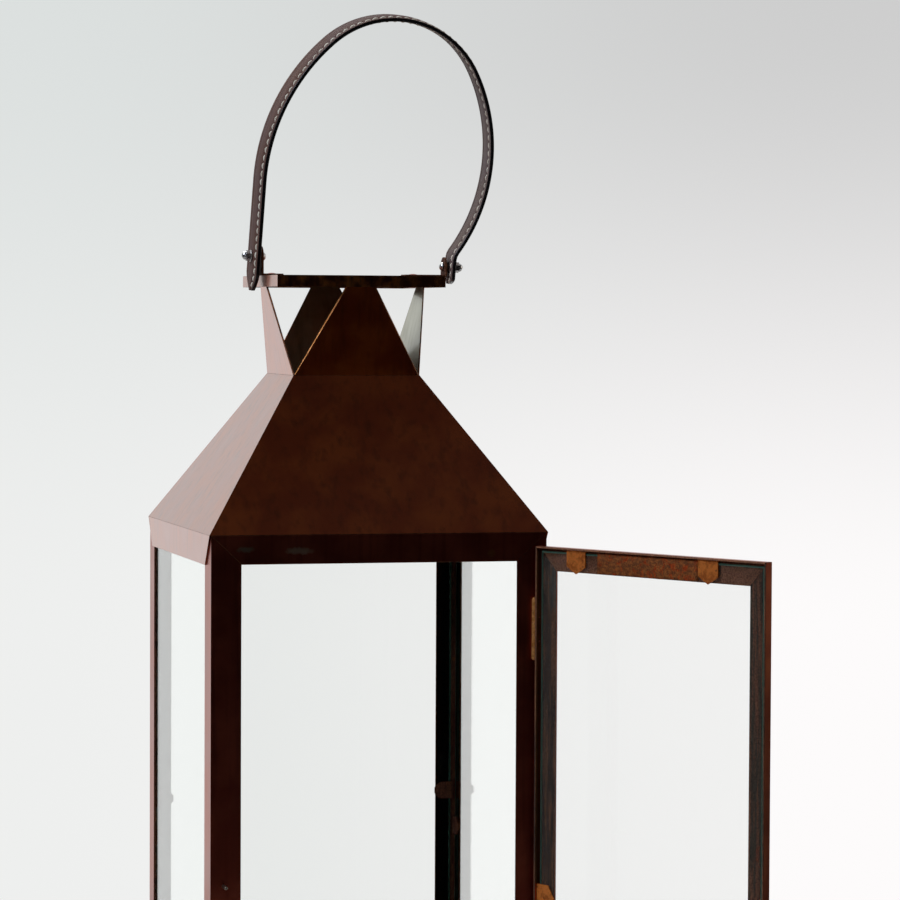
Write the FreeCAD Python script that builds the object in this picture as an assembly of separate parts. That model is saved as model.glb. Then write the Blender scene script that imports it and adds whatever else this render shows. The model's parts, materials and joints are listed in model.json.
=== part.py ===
"""Glazed steel candle lantern with a hinged door and a leather bail handle.

Millimetres, +Z up, the front looks along -Y, the origin is on the floor under the middle of the base.
The door is modelled standing open and the handle leaning a little forward; both swing on real pivots.
"""
import FreeCAD, Part
import os
from math import asin, cos, degrees, radians, sin, sqrt, tan

# ---- Body ----
body_width = 200.0           # outside of the roof eave and of the base
sheet = 1.0                  # roof, base and cap sheet
angle_wall = 1.2             # wall of every angle iron
front_flange = 17.6          # width of the front posts' faces
rear_flange = 14.8           # width of the rear posts' faces
side_rail = 15.8             # height of the rails behind the eave lips
front_top_rail = 16.8
front_bottom_rail = 18.6
opening_height = 358.0       # clear height of the doorway
rail_shelf = 15.0            # depth of the rails' level flanges

# ---- Base ----
pad_height = 2.5
pad_radius = 7.0
pad_inset = 12.0             # pad centre from the base's edge
base_skirt = 17.0
base_return = 22.0           # inward flange that the pads are glued to

# ---- Roof, neck and cap ----
lip_height = 17.6            # vertical lip below the eave fold
lip_taper = 14.0             # how far each end of a lip is cut back
roof_rise = 89.8
neck_width = 76.4            # across the fold where the slopes meet the neck
neck_rise = 52.0             # from that fold to the cap's lower edge
tab_tip_width = 18.4         # width of a neck tab where it enters the cap
tab_bevel = 0.8              # ground bevel on the tabs' slanted edges
cap_width = 101.2
cap_rim = 6.8

# ---- Glass and its clips ----
glass = 2.0
glass_edge_gap = 1.3         # room all round a pane
pane_bite = 10.6             # how far a fixed pane reaches behind a flange
clip_thick = 0.8
clip_width = 15.0
clip_length = 13.6           # of a door clip, from the flange to its point
pane_clip_width = 11.0
pane_clip_reach = 11.0
pane_clip_drops = (0.475, 0.922)     # below the eave, as shares of the opening's height

# ---- Door ----
door_overlap = 9.0           # over the front frame, top and bottom
door_free_overlap = 6.4      # over the left post
door_depth = 5.2
door_face = 14.0             # width of the door frame's faces
door_gap = 0.4               # between the closed door and the front frame
door_open = 118.8            # degrees that the door stands open
door_clip_inset = (31.5, 43.7)    # clip centres from the hinge edge and from the free edge
side_clip_drop = 16.0        # of the clips on the stiles, below the door's middle

# ---- Door hinges ----
hinge_inset = 7.6            # hinge axis from the post's outer edge
hinge_height = 35.0
hinge_drop = 56.0            # eave to the middle of the upper hinge
hinge_rise = 56.0            # base top to the middle of the lower hinge
knuckle_radius = 1.6
knuckle_count = 5
leaf_thick = 0.8
leaf_reach = 6.0
pin_radius = 0.8
turn_clearance = 0.05        # radial, in what turns on a pin
part_gap = 0.35              # between pieces that move past each other
rivet_radius = 0.7
rivet_head = 1.2
rivet_dome = 0.5
rivet_spread = 20.0          # between a hinge leaf's two rivets

# ---- Latch ----
latch_drop = 200.0           # below the eave
latch_width = 6.0
latch_thick = 1.4
latch_stand_off = 0.9
latch_pivot_radius = 1.5
latch_cap_radius = 3.2
latch_cap_height = 1.5
latch_tip = 3.9              # beyond the keeper pin's centre
keeper_radius = 1.1
keeper_reach = 8.6

# ---- Handle ----
strap_width = 24.0
strap_thick = 3.5
strap_cone = 3.0             # degrees by which the band is coned
handle_lean = 7.0            # degrees that it leans to the front
pivot_tilt = 2.7             # degrees that the pivot line falls to the right
left_pivot_out = 3.4         # strap centre from the cap's left side
left_pivot_up = 11.6         # pivot above the cap's top
straight_leg = 45.0          # of the left leg above the pivot
crown_radius = 56.8
crown_centre = (75.5, 89.8)  # from the left pivot
right_radius = 105.0
right_join = 29.6            # degrees above level where the crown meets the right leg
right_leg_end = 9.5          # height above the pivot line where the right leg bends upright
end_bend = 8.0
left_tail = 20.5
right_tail = 10.0
left_point = 10.0            # length of the tongue's taper
right_point = 4.0
point_width = 7.0
core_thick = 0.8
core_width = 16.0
core_tail = 7.0
cover_thick = 1.35           # outer leather over the core

# ---- Handle bolts and lugs ----
bolt_radius = 1.5
bolt_head_radius = 2.8
bolt_head_height = 2.0
washer_radius = 3.5
washer_thick = 0.6
spacer_thick = 0.9
seat_gap = 0.2               # play between washers and the coned strap
nut_flats = 5.5
nut_hex = 2.6
nut_dome = 3.0
pivot_clearance = 0.1
lug_width = 12.0
lug_thick = 1.2
lug_top = 6.0                # above the pivot
lug_foot = 12.0
lug_rivet_radius = 1.6
lug_rivet_head = 2.8
lug_rivet_dome = 0.5

# ---- Places that follow from the sizes ----
half = body_width / 2
side_face = half - sheet                       # outer face of the frame behind the lips
front_face = -half                             # outer face of the front frame
base_top = pad_height + base_skirt
opening_low = base_top + front_bottom_rail
opening_high = opening_low + opening_height
eave = opening_high + front_top_rail
neck_fold = eave + roof_rise
cap_low = neck_fold + neck_rise
cap_top = cap_low + cap_rim
cap_half = cap_width / 2
post_inner = side_face - front_flange
front_post_end = front_face + front_flange + sheet
rear_inner = side_face - rear_flange
tab_reach = cap_half - sheet                   # outer face of a tab at the cap's underside

front_outer = (-side_face, side_face, base_top, eave)
front_inner = (-post_inner, post_inner, opening_low, opening_high)

hinge_x = side_face - hinge_inset
hinge_y = front_face - knuckle_radius - 0.3
door_right = hinge_x - knuckle_radius - part_gap
door_left = -post_inner - door_free_overlap
door_low = opening_low - door_overlap
door_high = opening_high + door_overlap
door_back = front_face - door_gap
door_front = door_back - door_depth
door_outer = (door_left, door_right, door_low, door_high)
door_inner = (door_left + door_face, door_right - door_face, door_low + door_face, door_high - door_face)
hinge_centres = (eave - hinge_drop, base_top + hinge_rise)

latch_z = eave - latch_drop
latch_x = door_left + door_face / 2
keeper_x = -side_face + hinge_inset

pivot = FreeCAD.Vector(-cap_half - left_pivot_out, 0, cap_top + left_pivot_up)


def box(x0, x1, y0, y1, z0, z1):
    """A box between two corners."""
    return Part.makeBox(x1 - x0, y1 - y0, z1 - z0, FreeCAD.Vector(x0, y0, z0))


def rod(radius, start, direction, length):
    """A round bar from a point along a direction."""
    return Part.makeCylinder(radius, length, FreeCAD.Vector(*start), FreeCAD.Vector(*direction))


def dome(radius, height, start, direction):
    """A domed head: a spherical cap of the given rim radius and height, turned about its axis."""
    ball = (radius * radius + height * height) / (2 * height)
    middle = asin(radius / ball) / 2
    base = FreeCAD.Vector(0, 0, 0)
    rim = FreeCAD.Vector(radius, 0, 0)
    top = FreeCAD.Vector(0, 0, height)
    between = FreeCAD.Vector(ball * sin(middle), 0, ball * cos(middle) - ball + height)
    edges = [Part.LineSegment(top, base).toShape(), Part.LineSegment(base, rim).toShape()]
    edges.append(Part.Arc(rim, between, top).toShape())
    head = Part.Face(Part.Wire(edges)).revolve(base, FreeCAD.Vector(0, 0, 1), 360)
    turn = FreeCAD.Rotation(FreeCAD.Vector(0, 0, 1), FreeCAD.Vector(*direction))
    head.Placement = FreeCAD.Placement(FreeCAD.Vector(*start), turn)
    return head


def slab_xz(points, y0, y1):
    """A flat plate outlined in X and Z, between two Y planes."""
    corners = [FreeCAD.Vector(x, y0, z) for x, z in points]
    face = Part.Face(Part.makePolygon(corners + corners[:1]))
    return face.extrude(FreeCAD.Vector(0, y1 - y0, 0))


def slab_xy(points, z0, z1):
    """A flat plate outlined in X and Y, between two Z planes."""
    corners = [FreeCAD.Vector(x, y, z0) for x, y in points]
    face = Part.Face(Part.makePolygon(corners + corners[:1]))
    return face.extrude(FreeCAD.Vector(0, 0, z1 - z0))


def solid_of(faces):
    """A closed solid from its faces."""
    made = Part.Solid(Part.Shell(faces))
    if made.Volume < 0:
        made.reverse()
    return made


def write(name, *solids):
    """One STEP file for one node; several solids make a group of like pieces."""
    shape = solids[0] if len(solids) == 1 else Part.makeCompound(list(solids))
    shape.exportStep("parts/" + name + ".step")


def side_band(outer, inner, side):
    """The mitred band of one side between an outer and an inner rectangle (left, right, low, high)."""
    left, right, low, high = outer
    in_left, in_right, in_low, in_high = inner
    if side == "left":
        return [(left, low), (left, high), (in_left, in_high), (in_left, in_low)]
    if side == "right":
        return [(right, low), (right, high), (in_right, in_high), (in_right, in_low)]
    if side == "top":
        return [(left, high), (right, high), (in_right, in_high), (in_left, in_high)]
    return [(left, low), (right, low), (in_right, in_low), (in_left, in_low)]


def shrunk(rectangle, amount):
    """A rectangle moved inwards on all four sides."""
    left, right, low, high = rectangle
    return (left + amount, right - amount, low + amount, high - amount)


def turned(shape, quarter_turns):
    """A copy turned about the lantern's upright axis."""
    copy = shape.copy()
    copy.rotate(FreeCAD.Vector(0, 0, 0), FreeCAD.Vector(0, 0, 1), 90 * quarter_turns)
    return copy


# ---------------------------------------------------------------- base
def base_pan():
    """A folded pan: the floor that the candle stands on, four skirts and an inward return."""
    pan = box(-half, half, -half, half, pad_height, base_top)
    inside = half - sheet
    mouth = half - base_return
    pan = pan.cut(box(-inside, inside, -inside, inside, pad_height + sheet, base_top - sheet))
    return pan.cut(box(-mouth, mouth, -mouth, mouth, pad_height - 1, base_top - sheet))


def base_pads():
    """Four round pads under the corners."""
    place = half - pad_inset
    corners = [(x, y, 0) for x in (-place, place) for y in (-place, place)]
    return [rod(pad_radius, corner, (0, 0, 1), pad_height) for corner in corners]


# ---------------------------------------------------------------- frame
def front_post(side):
    """A front corner post: mitred face and side flange."""
    face = slab_xz(side_band(front_outer, front_inner, side), front_face, front_face + angle_wall)
    x0 = -side_face if side == "left" else side_face - angle_wall
    low = base_top + angle_wall
    high = eave - angle_wall
    flange = box(x0, x0 + angle_wall, front_face + angle_wall, front_post_end, low, high)
    return face.fuse(flange).removeSplitter()


def rear_post(side):
    """A rear corner post, cut square between the rails' level flanges."""
    low = base_top + angle_wall
    high = eave - angle_wall
    sign = -1 if side == "left" else 1
    xs = sorted((sign * side_face, sign * rear_inner))
    back = box(xs[0], xs[1], side_face - angle_wall, side_face, low, high)
    xs = sorted((sign * side_face, sign * (side_face - angle_wall)))
    flank = box(xs[0], xs[1], rear_inner, side_face, low, high)
    return back.fuse(flank).removeSplitter()


def shelf(side, z0):
    """A rail's level flange, mitred to its neighbours in plan."""
    plan_outer = (-side_face, side_face, front_face + angle_wall, side_face)
    plan_inner = shrunk(plan_outer, rail_shelf - angle_wall)
    names = {"front": "bottom", "rear": "top", "left": "left", "right": "right"}
    return slab_xy(side_band(plan_outer, plan_inner, names[side]), z0, z0 + angle_wall)


def front_rail(side):
    """The mitred rail over or under the doorway."""
    face = slab_xz(side_band(front_outer, front_inner, side), front_face, front_face + angle_wall)
    z0 = eave - angle_wall if side == "top" else base_top
    return face.fuse(shelf("front", z0)).removeSplitter()


def plain_rail(side, top):
    """A rail at the rear or a side, between the posts' flanges."""
    z0 = eave - side_rail if top else base_top
    z1 = eave if top else base_top + side_rail
    if side == "rear":
        web = box(-rear_inner, rear_inner, side_face - angle_wall, side_face, z0, z1)
    elif side == "left":
        web = box(-side_face, -side_face + angle_wall, front_post_end, rear_inner, z0, z1)
    else:
        web = box(side_face - angle_wall, side_face, front_post_end, rear_inner, z0, z1)
    level = shelf(side, eave - angle_wall if top else base_top)
    return web.fuse(level).removeSplitter()


# ---------------------------------------------------------------- fixed glass
pane_low = base_top + angle_wall + glass_edge_gap
pane_high = eave - angle_wall - glass_edge_gap
pane_face = side_face - angle_wall             # where a pane lies against the flanges
pane_front = front_post_end - pane_bite
pane_rear = rear_inner + 9.6


def side_pane(sign):
    """The left or right pane."""
    xs = sorted((sign * pane_face, sign * (pane_face - glass)))
    return box(xs[0], xs[1], pane_front, pane_rear, pane_low, pane_high)


def rear_pane():
    """The pane at the back."""
    return box(-pane_rear, pane_rear, pane_face - glass, pane_face, pane_low, pane_high)


def pane_clip(drop):
    """A bent clip on the rear pane's right-hand edge: foot on the flange, step, tongue on the glass."""
    z1 = eave - drop * opening_height
    z0 = z1 - pane_clip_width
    foot_out = side_face - angle_wall - clip_thick - 0.4
    step_x = pane_rear + 0.3
    foot = box(step_x, foot_out, pane_face - clip_thick, pane_face, z0, z1)
    step = box(step_x, step_x + clip_thick, pane_face - glass - clip_thick, pane_face, z0, z1)
    tongue_y = pane_face - glass - clip_thick
    tip = step_x - pane_clip_reach
    corner = pane_clip_width / 3
    outline = [(step_x + clip_thick, z0), (step_x + clip_thick, z1), (tip + corner, z1)]
    outline += [(tip, z1 - corner), (tip, z0 + corner), (tip + corner, z0)]
    tongue = slab_xz(outline, tongue_y, tongue_y + clip_thick)
    return foot.fuse([step, tongue]).removeSplitter()


def mirrored(shape):
    """A left-handed copy."""
    return shape.mirror(FreeCAD.Vector(0, 0, 0), FreeCAD.Vector(1, 0, 0))


def rear_clips():
    """Two clips on each upright edge of the rear pane."""
    right = [pane_clip(drop) for drop in pane_clip_drops]
    return right + [mirrored(clip) for clip in right]


def side_clips(sign):
    """Two clips on each upright edge of a side pane, clear of the rear pane's clips."""
    stagger = 2 * pane_clip_width / opening_height
    rear = [turned(pane_clip(drop + stagger), 1) for drop in pane_clip_drops]
    front = [turned(mirrored(pane_clip(drop + stagger)), 1) for drop in pane_clip_drops]
    slide = pane_front + pane_rear
    for clip in front:
        clip.translate(FreeCAD.Vector(0, slide, 0))
    left = rear + front
    return left if sign < 0 else [mirrored(clip) for clip in left]


# ---------------------------------------------------------------- roof
def roof_panel(with_lip):
    """The front roof panel: eave lip, slope and neck tab folded from one sheet.

    The profile runs upwards as (distance from the axis, height) on the outside and on the inside.
    """
    neck_half = neck_width / 2
    run = half - neck_half
    slope_length = sqrt(run * run + roof_rise * roof_rise)
    slope_shift = sheet * slope_length / roof_rise            # level distance through the slope
    tab_run = tab_reach - neck_half
    tab_rise = cap_top - sheet - neck_fold
    tab_length = sqrt(tab_run * tab_run + tab_rise * tab_rise)
    tab_shift = sheet * tab_length / tab_rise
    slope_per_rise = run / roof_rise
    tab_per_rise = tab_run / tab_rise
    fold_up = (slope_shift - tab_shift) / (slope_per_rise + tab_per_rise)
    fold_inside = (neck_half - tab_shift + tab_per_rise * fold_up, neck_fold + fold_up)
    tab_top = cap_top - sheet
    tab_half_low = neck_half
    taper = (tab_half_low - tab_tip_width / 2) / neck_rise
    tab_half_top = tab_half_low - taper * tab_rise

    outer = [(half, eave), (neck_half, neck_fold), (tab_reach, tab_top)]
    inner = [(half - slope_shift, eave), fold_inside, (tab_reach - tab_shift, tab_top)]
    outer_half = [half, neck_half, tab_half_top]
    inner_half = [half - slope_shift, fold_inside[0], tab_half_top]
    if with_lip:
        lip_inner_up = (slope_shift - sheet) / slope_per_rise
        outer.insert(0, (half, eave - lip_height))
        inner[0] = (half - sheet, eave + lip_inner_up)
        inner.insert(0, (half - sheet, eave - lip_height))
        lip_half = half - lip_taper
        outer_half.insert(0, lip_half)
        inner_half[0] = half - sheet
        inner_half.insert(0, lip_half)

    def row(profile, halves):
        left = [FreeCAD.Vector(-w, -d, z) for (d, z), w in zip(profile, halves)]
        right = [FreeCAD.Vector(w, -d, z) for (d, z), w in zip(profile, halves)]
        return left, right

    out_left, out_right = row(outer, outer_half)
    in_left, in_right = row(inner, inner_half)
    faces = []

    def facet(*corners):
        faces.append(Part.Face(Part.makePolygon(list(corners) + [corners[0]])))

    for i in range(len(outer) - 1):
        facet(out_left[i], out_right[i], out_right[i + 1], out_left[i + 1])
        facet(in_left[i], in_right[i], in_right[i + 1], in_left[i + 1])
        for out, inn in ((out_left, in_left), (out_right, in_right)):
            facet(out[i], out[i + 1], inn[i + 1])
            facet(out[i], inn[i + 1], inn[i])
    for i in (0, -1):
        facet(out_left[i], out_right[i], in_right[i], in_left[i])
    panel = solid_of(faces)
    tab_edges = []
    for edge in panel.Edges:
        a, b = (vertex.Point for vertex in edge.Vertexes)
        low, high = sorted((a, b), key=lambda point: point.z)
        from_fold = abs(low.z - neck_fold) < 1e-6 and abs(low.y + neck_half) < 1e-6
        if from_fold and abs(high.z - tab_top) < 1e-6 and abs(high.y + tab_reach) < 1e-6:
            tab_edges.append(edge)
    return panel.makeChamfer(tab_bevel, tab_edges)


def cap():
    """The square cap: a tray turned upside down over the four tabs."""
    shell = box(-cap_half, cap_half, -cap_half, cap_half, cap_low, cap_top)
    inside = cap_half - sheet
    return shell.cut(box(-inside, inside, -inside, inside, cap_low - 1, cap_top - sheet))


# ---------------------------------------------------------------- handle
crown_u, crown_v = crown_centre
leg_rise = crown_v - straight_leg
# The left leg's arc starts upright and ends tangent to the crown.
left_radius = (crown_u ** 2 + leg_rise ** 2 - crown_radius ** 2) / (2 * (crown_u - crown_radius))
left_join = 180 - degrees(asin(leg_rise / (left_radius - crown_radius)))
right_u = crown_u - (right_radius - crown_radius) * cos(radians(right_join))
right_v = crown_v - (right_radius - crown_radius) * sin(radians(right_join))
bend_angle = degrees(asin((right_leg_end - right_v) / right_radius))
bend_u = right_u + (right_radius + end_bend) * cos(radians(bend_angle))
bend_v = right_v + (right_radius + end_bend) * sin(radians(bend_angle))
right_eye = bend_u - end_bend                  # place of the right pivot along the pivot line


def arc_through(u, v, radius, start, end):
    """Three points of an arc in the handle's plane, angles in degrees."""
    angles = [radians(a) for a in (start, (start + end) / 2, end)]
    return [(u + radius * cos(a), v + radius * sin(a)) for a in angles]


def strap_line(offset, tail_left, tail_right):
    """The band's line at a distance outside its middle, from the left tip to the right tip."""
    leg = arc_through(left_radius, straight_leg, left_radius + offset, 180, left_join)
    crown = arc_through(crown_u, crown_v, crown_radius + offset, left_join, right_join)
    right = arc_through(right_u, right_v, right_radius + offset, right_join, bend_angle)
    bend = arc_through(bend_u, bend_v, end_bend - offset, 180 + bend_angle, 180)
    start = [(-offset, -tail_left), (-offset, straight_leg)]
    end = [bend[2], (bend[2][0], -tail_right)]
    return [start, leg, crown, right, bend, end]


def band_outline(y, inside, outside, tail_left, tail_right):
    """A closed wire in one depth plane, between two offsets; the cone moves it with depth."""
    shift = y * tan(radians(strap_cone))
    outer = strap_line(outside + shift, tail_left, tail_right)
    inner = strap_line(inside + shift, tail_left, tail_right)
    back = [piece[::-1] for piece in inner[::-1]]
    loop = outer + [[outer[-1][-1], back[0][0]]] + back + [[back[-1][-1], outer[0][0]]]
    edges = []
    for piece in loop:
        points = [FreeCAD.Vector(u, y, v) for u, v in piece]
        curve = Part.LineSegment(*points) if len(points) == 2 else Part.Arc(*points)
        edges.append(curve.toShape())
    return Part.Wire(edges)


def band(inside, outside, width, tail_left, tail_right):
    """A coned strip along the handle's line."""
    front = band_outline(-width / 2, inside, outside, tail_left, tail_right)
    back = band_outline(width / 2, inside, outside, tail_left, tail_right)
    return Part.makeLoft([front, back], True, True)


def point_cutters(u, tail, taper):
    """Two wedges that bring a strap end to a point."""
    edge = strap_width / 2
    tip = point_width / 2
    reach = 8
    cutters = []
    for sign in (-1, 1):
        corners = [(sign * (edge + 1), -tail + taper), (sign * edge, -tail + taper)]
        corners += [(sign * tip, -tail), (sign * tip, -tail - 1), (sign * (edge + 1), -tail - 1)]
        points = [FreeCAD.Vector(u - reach, y, v) for y, v in corners]
        face = Part.Face(Part.makePolygon(points + points[:1]))
        cutters.append(face.extrude(FreeCAD.Vector(2 * reach, 0, 0)))
    return cutters


def pivot_holes(radius):
    """Bores for both bolts along the pivot line."""
    left = rod(radius, (-10, 0, 0), (1, 0, 0), 20)
    right = rod(radius, (right_eye - 10, 0, 0), (1, 0, 0), 20)
    return [left, right]


def placed(shape):
    """From the handle's own frame to its place on the lantern."""
    lean = FreeCAD.Rotation(FreeCAD.Vector(1, 0, 0), handle_lean)
    tilt = FreeCAD.Rotation(FreeCAD.Vector(0, 1, 0), pivot_tilt)
    shape = shape.copy()
    shape.Placement = FreeCAD.Placement(pivot, tilt.multiply(lean)).multiply(shape.Placement)
    return shape


def strap_layers():
    """Outer leather, lining with a groove for the core, and the steel core."""
    holes = pivot_holes(bolt_radius)
    core = band(-core_thick / 2, core_thick / 2, core_width, core_tail, core_tail).cut(holes)
    split = strap_thick / 2 - cover_thick
    points = point_cutters(0, left_tail, left_point) + point_cutters(right_eye, right_tail, right_point)
    cover = band(split, strap_thick / 2, strap_width, left_tail, right_tail).cut(points + holes)
    lining = band(-strap_thick / 2, split, strap_width, left_tail, right_tail).cut(points + holes)
    filler = band(-core_thick / 2, core_thick / 2, core_width, core_tail, core_tail)
    return cover, lining.cut(filler), core


def ring(radius, bore, start, length):
    """A washer or spacer round the pivot line, from one place along it."""
    return rod(radius, (start, 0, 0), (1, 0, 0), length).cut(rod(bore, (start - 1, 0, 0), (1, 0, 0), length + 2))


def bolt_set(eye, outward):
    """Bolt, washer, spacer and dome nut at one end, in the handle's frame; outward is -1 or 1."""
    lug_inner = left_pivot_out + lug_thick
    tilt_play = washer_radius * sin(radians(pivot_tilt))
    head_at = lug_inner + tilt_play + part_gap
    washer_at = strap_thick / 2 + seat_gap
    nut_at = washer_at + washer_thick
    shank_end = nut_at + nut_hex
    inner = -head_at if outward > 0 else head_at

    def at(distance):
        return eye + outward * distance

    shank = rod(bolt_radius, (at(-head_at), 0, 0), (outward, 0, 0), head_at + shank_end)
    head = dome(bolt_head_radius, bolt_head_height, (eye + inner, 0, 0), (-outward, 0, 0))
    bolt = shank.fuse(head).removeSplitter()
    washer_start = at(washer_at) if outward > 0 else at(nut_at)
    washer = ring(washer_radius, bolt_radius, washer_start, washer_thick)
    spacer_far = washer_at + spacer_thick
    spacer_start = at(-spacer_far) if outward > 0 else at(-washer_at)
    spacer = ring(washer_radius, bolt_radius, spacer_start, spacer_thick)
    corner = nut_flats / sqrt(3)
    corners = [FreeCAD.Vector(at(nut_at), corner * cos(radians(a)), corner * sin(radians(a)))
               for a in range(30, 390, 60)]
    hexagon = Part.Face(Part.makePolygon(corners + corners[:1]))
    nut = hexagon.extrude(FreeCAD.Vector(outward * nut_hex, 0, 0))
    crown = dome(nut_flats / 2 - 0.15, nut_dome - 0.4, (at(shank_end), 0, 0), (outward, 0, 0))
    nut = nut.cut(rod(bolt_radius, (at(nut_at - 1), 0, 0), (outward, 0, 0), nut_hex + 1))
    return bolt, washer, spacer, nut.fuse(crown).removeSplitter()


def lugs():
    """Two bent lugs on the cap, drilled along the pivot line, with one rivet each."""
    eye_x = pivot.x + right_eye * cos(radians(pivot_tilt))
    eye_z = pivot.z - right_eye * sin(radians(pivot_tilt))
    holes = placed(Part.makeCompound(pivot_holes(bolt_radius + pivot_clearance)))
    w = lug_width / 2
    made = []
    for sign, leg_out, top in ((-1, cap_half, pivot.z), (1, eye_x - left_pivot_out, eye_z)):
        xs = sorted((sign * leg_out, sign * (leg_out - lug_thick)))
        leg = box(xs[0], xs[1], -w, w, cap_top, top)
        crown = rod(lug_top, (xs[0], 0, top), (1, 0, 0), lug_thick)
        keep = box(xs[0], xs[1], -w, w, cap_top, top + lug_top)
        xs = sorted((sign * leg_out, sign * (cap_half - lug_foot - lug_thick)))
        foot = box(xs[0], xs[1], -w, w, cap_top, cap_top + lug_thick)
        rivet_x = sign * (cap_half - lug_foot / 2 - lug_thick)
        lug = leg.fuse([crown.common(keep), foot]).removeSplitter().cut(holes)
        hole = rod(lug_rivet_radius, (rivet_x, 0, cap_top - 5), (0, 0, 1), 10)
        made.append((lug.cut(hole), rivet_x))
    return made


def lug_rivet(x):
    """A rivet through a lug's foot and the cap's top."""
    low = cap_top - sheet
    shank = rod(lug_rivet_radius, (x, 0, low), (0, 0, 1), sheet + lug_thick)
    over = dome(lug_rivet_head, lug_rivet_dome, (x, 0, cap_top + lug_thick), (0, 0, 1))
    under = dome(lug_rivet_head, lug_rivet_dome, (x, 0, low), (0, 0, -1))
    return shank.fuse([over, under]).removeSplitter()


# ---------------------------------------------------------------- door, modelled shut and then swung
def swung(shape):
    """From the shut door to the open one."""
    shape = shape.copy()
    axis = FreeCAD.Vector(hinge_x, hinge_y, 0)
    shape.rotate(axis, FreeCAD.Vector(0, 0, 1), door_open)
    return shape


def door_bar(side):
    """One mitred angle of the door frame: face and return flange."""
    face = slab_xz(side_band(door_outer, door_inner, side), door_front, door_front + angle_wall)
    edge = side_band(door_outer, shrunk(door_outer, angle_wall), side)
    return face.fuse(slab_xz(edge, door_front, door_back)).removeSplitter()


glass_rect = shrunk(door_outer, angle_wall + glass_edge_gap)


def door_glass():
    """The door's pane, inside the tray of its frame."""
    left, right, low, high = glass_rect
    y0 = door_front + angle_wall
    return box(left, right, y0, y0 + glass, low, high)


def door_clip(x, z, quarter_turns):
    """A pointed clip with its foot over the glass edge; drawn at the top and turned to the other sides."""
    half_clip = clip_width / 2
    shoulder = clip_length * 0.68
    low_corner = clip_length * 0.88
    y0 = door_front + angle_wall + glass
    outline = [(-half_clip, 0), (half_clip, 0), (half_clip, -shoulder), (half_clip * 0.4, -low_corner)]
    outline += [(0, -clip_length), (-half_clip * 0.4, -low_corner), (-half_clip, -shoulder)]
    tongue = slab_xz(outline, y0, y0 + clip_thick)
    foot = box(-half_clip, half_clip, y0 - glass, y0, -clip_thick, 0)
    clip = tongue.fuse(foot).removeSplitter()
    clip.rotate(FreeCAD.Vector(0, 0, 0), FreeCAD.Vector(0, 1, 0), 90 * quarter_turns)
    clip.translate(FreeCAD.Vector(x, 0, z))
    return clip


def door_clips(side):
    """The clips of one side of the door."""
    near, far = door_clip_inset
    top = door_high - angle_wall
    low = door_low + angle_wall
    middle = (door_low + door_high) / 2 - side_clip_drop
    if side == "top":
        return [door_clip(x, top, 0) for x in (door_right - near, door_left + far)]
    if side == "bottom":
        return [door_clip(x, low, 2) for x in (door_right - near, door_left + far)]
    return [door_clip(door_right - angle_wall, middle, 1), door_clip(door_left + angle_wall, middle, 3)]


def knuckle_spans(middle, which):
    """Heights of the knuckles of one leaf: 0 for the frame's, 1 for the door's."""
    pitch = hinge_height / knuckle_count
    low = middle - hinge_height / 2
    trim = part_gap / 2
    spans = []
    for i in range(which, knuckle_count, 2):
        spans.append((low + i * pitch + trim, low + (i + 1) * pitch - trim))
    return spans


def frame_rivet_heights(middle):
    """Heights of the frame leaf's rivets."""
    return (middle - rivet_spread / 2, middle + rivet_spread / 2)


def door_rivet_heights(middle):
    """Heights of the door leaf's rivets, beside its knuckles."""
    pitch = hinge_height / knuckle_count
    return (middle - pitch, middle + pitch)


def frame_leaf(middle):
    """The hinge leaf on the right post's face, with its knuckles."""
    low = middle - hinge_height / 2
    clear = hinge_x + knuckle_radius + part_gap
    end = hinge_x + leaf_reach
    leaf = box(clear, end, front_face - leaf_thick, front_face, low, low + hinge_height)
    for z0, z1 in knuckle_spans(middle, 0):
        arm = box(hinge_x, clear, front_face - leaf_thick, front_face, z0, z1)
        leaf = leaf.fuse([arm, rod(knuckle_radius, (hinge_x, hinge_y, z0), (0, 0, 1), z1 - z0)])
    bore = rod(pin_radius, (hinge_x, hinge_y, low - 1), (0, 0, 1), hinge_height + 2)
    holes = [frame_rivet(z, False) for z in frame_rivet_heights(middle)]
    return leaf.cut([bore] + holes).removeSplitter()


def frame_rivet(z, with_head=True):
    """A rivet through the frame leaf and the post, flush on the leaf and domed behind the post."""
    x = hinge_x + (knuckle_radius + part_gap + leaf_reach) / 2
    inner = (x, front_face + angle_wall, z)
    shank = rod(rivet_radius, inner, (0, -1, 0), angle_wall + leaf_thick)
    if not with_head:
        return shank
    return shank.fuse(dome(rivet_head, rivet_dome, inner, (0, 1, 0))).removeSplitter()


def door_leaf(middle):
    """The hinge leaf on the door's edge, with its knuckles."""
    low = middle - hinge_height / 2
    x1 = door_right + leaf_thick
    near = hinge_y - knuckle_radius - part_gap
    leaf = box(door_right, x1, door_front, near, low, low + hinge_height)
    for z0, z1 in knuckle_spans(middle, 1):
        arm = box(door_right, x1, near, hinge_y, z0, z1)
        leaf = leaf.fuse([arm, rod(knuckle_radius, (hinge_x, hinge_y, z0), (0, 0, 1), z1 - z0)])
    bore = rod(pin_radius + turn_clearance, (hinge_x, hinge_y, low - 1), (0, 0, 1), hinge_height + 2)
    holes = [door_rivet(z, False) for z in door_rivet_heights(middle)]
    return leaf.cut([bore] + holes).removeSplitter()


def door_rivet(z, with_head=True):
    """A rivet through the door leaf and the door's return flange, domed inside the flange."""
    head = rivet_head - 0.2
    inner = (door_right - angle_wall, door_front + angle_wall + head, z)
    shank = rod(rivet_radius, inner, (1, 0, 0), angle_wall + leaf_thick)
    if not with_head:
        return shank
    return shank.fuse(dome(head, rivet_dome, inner, (-1, 0, 0))).removeSplitter()


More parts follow.
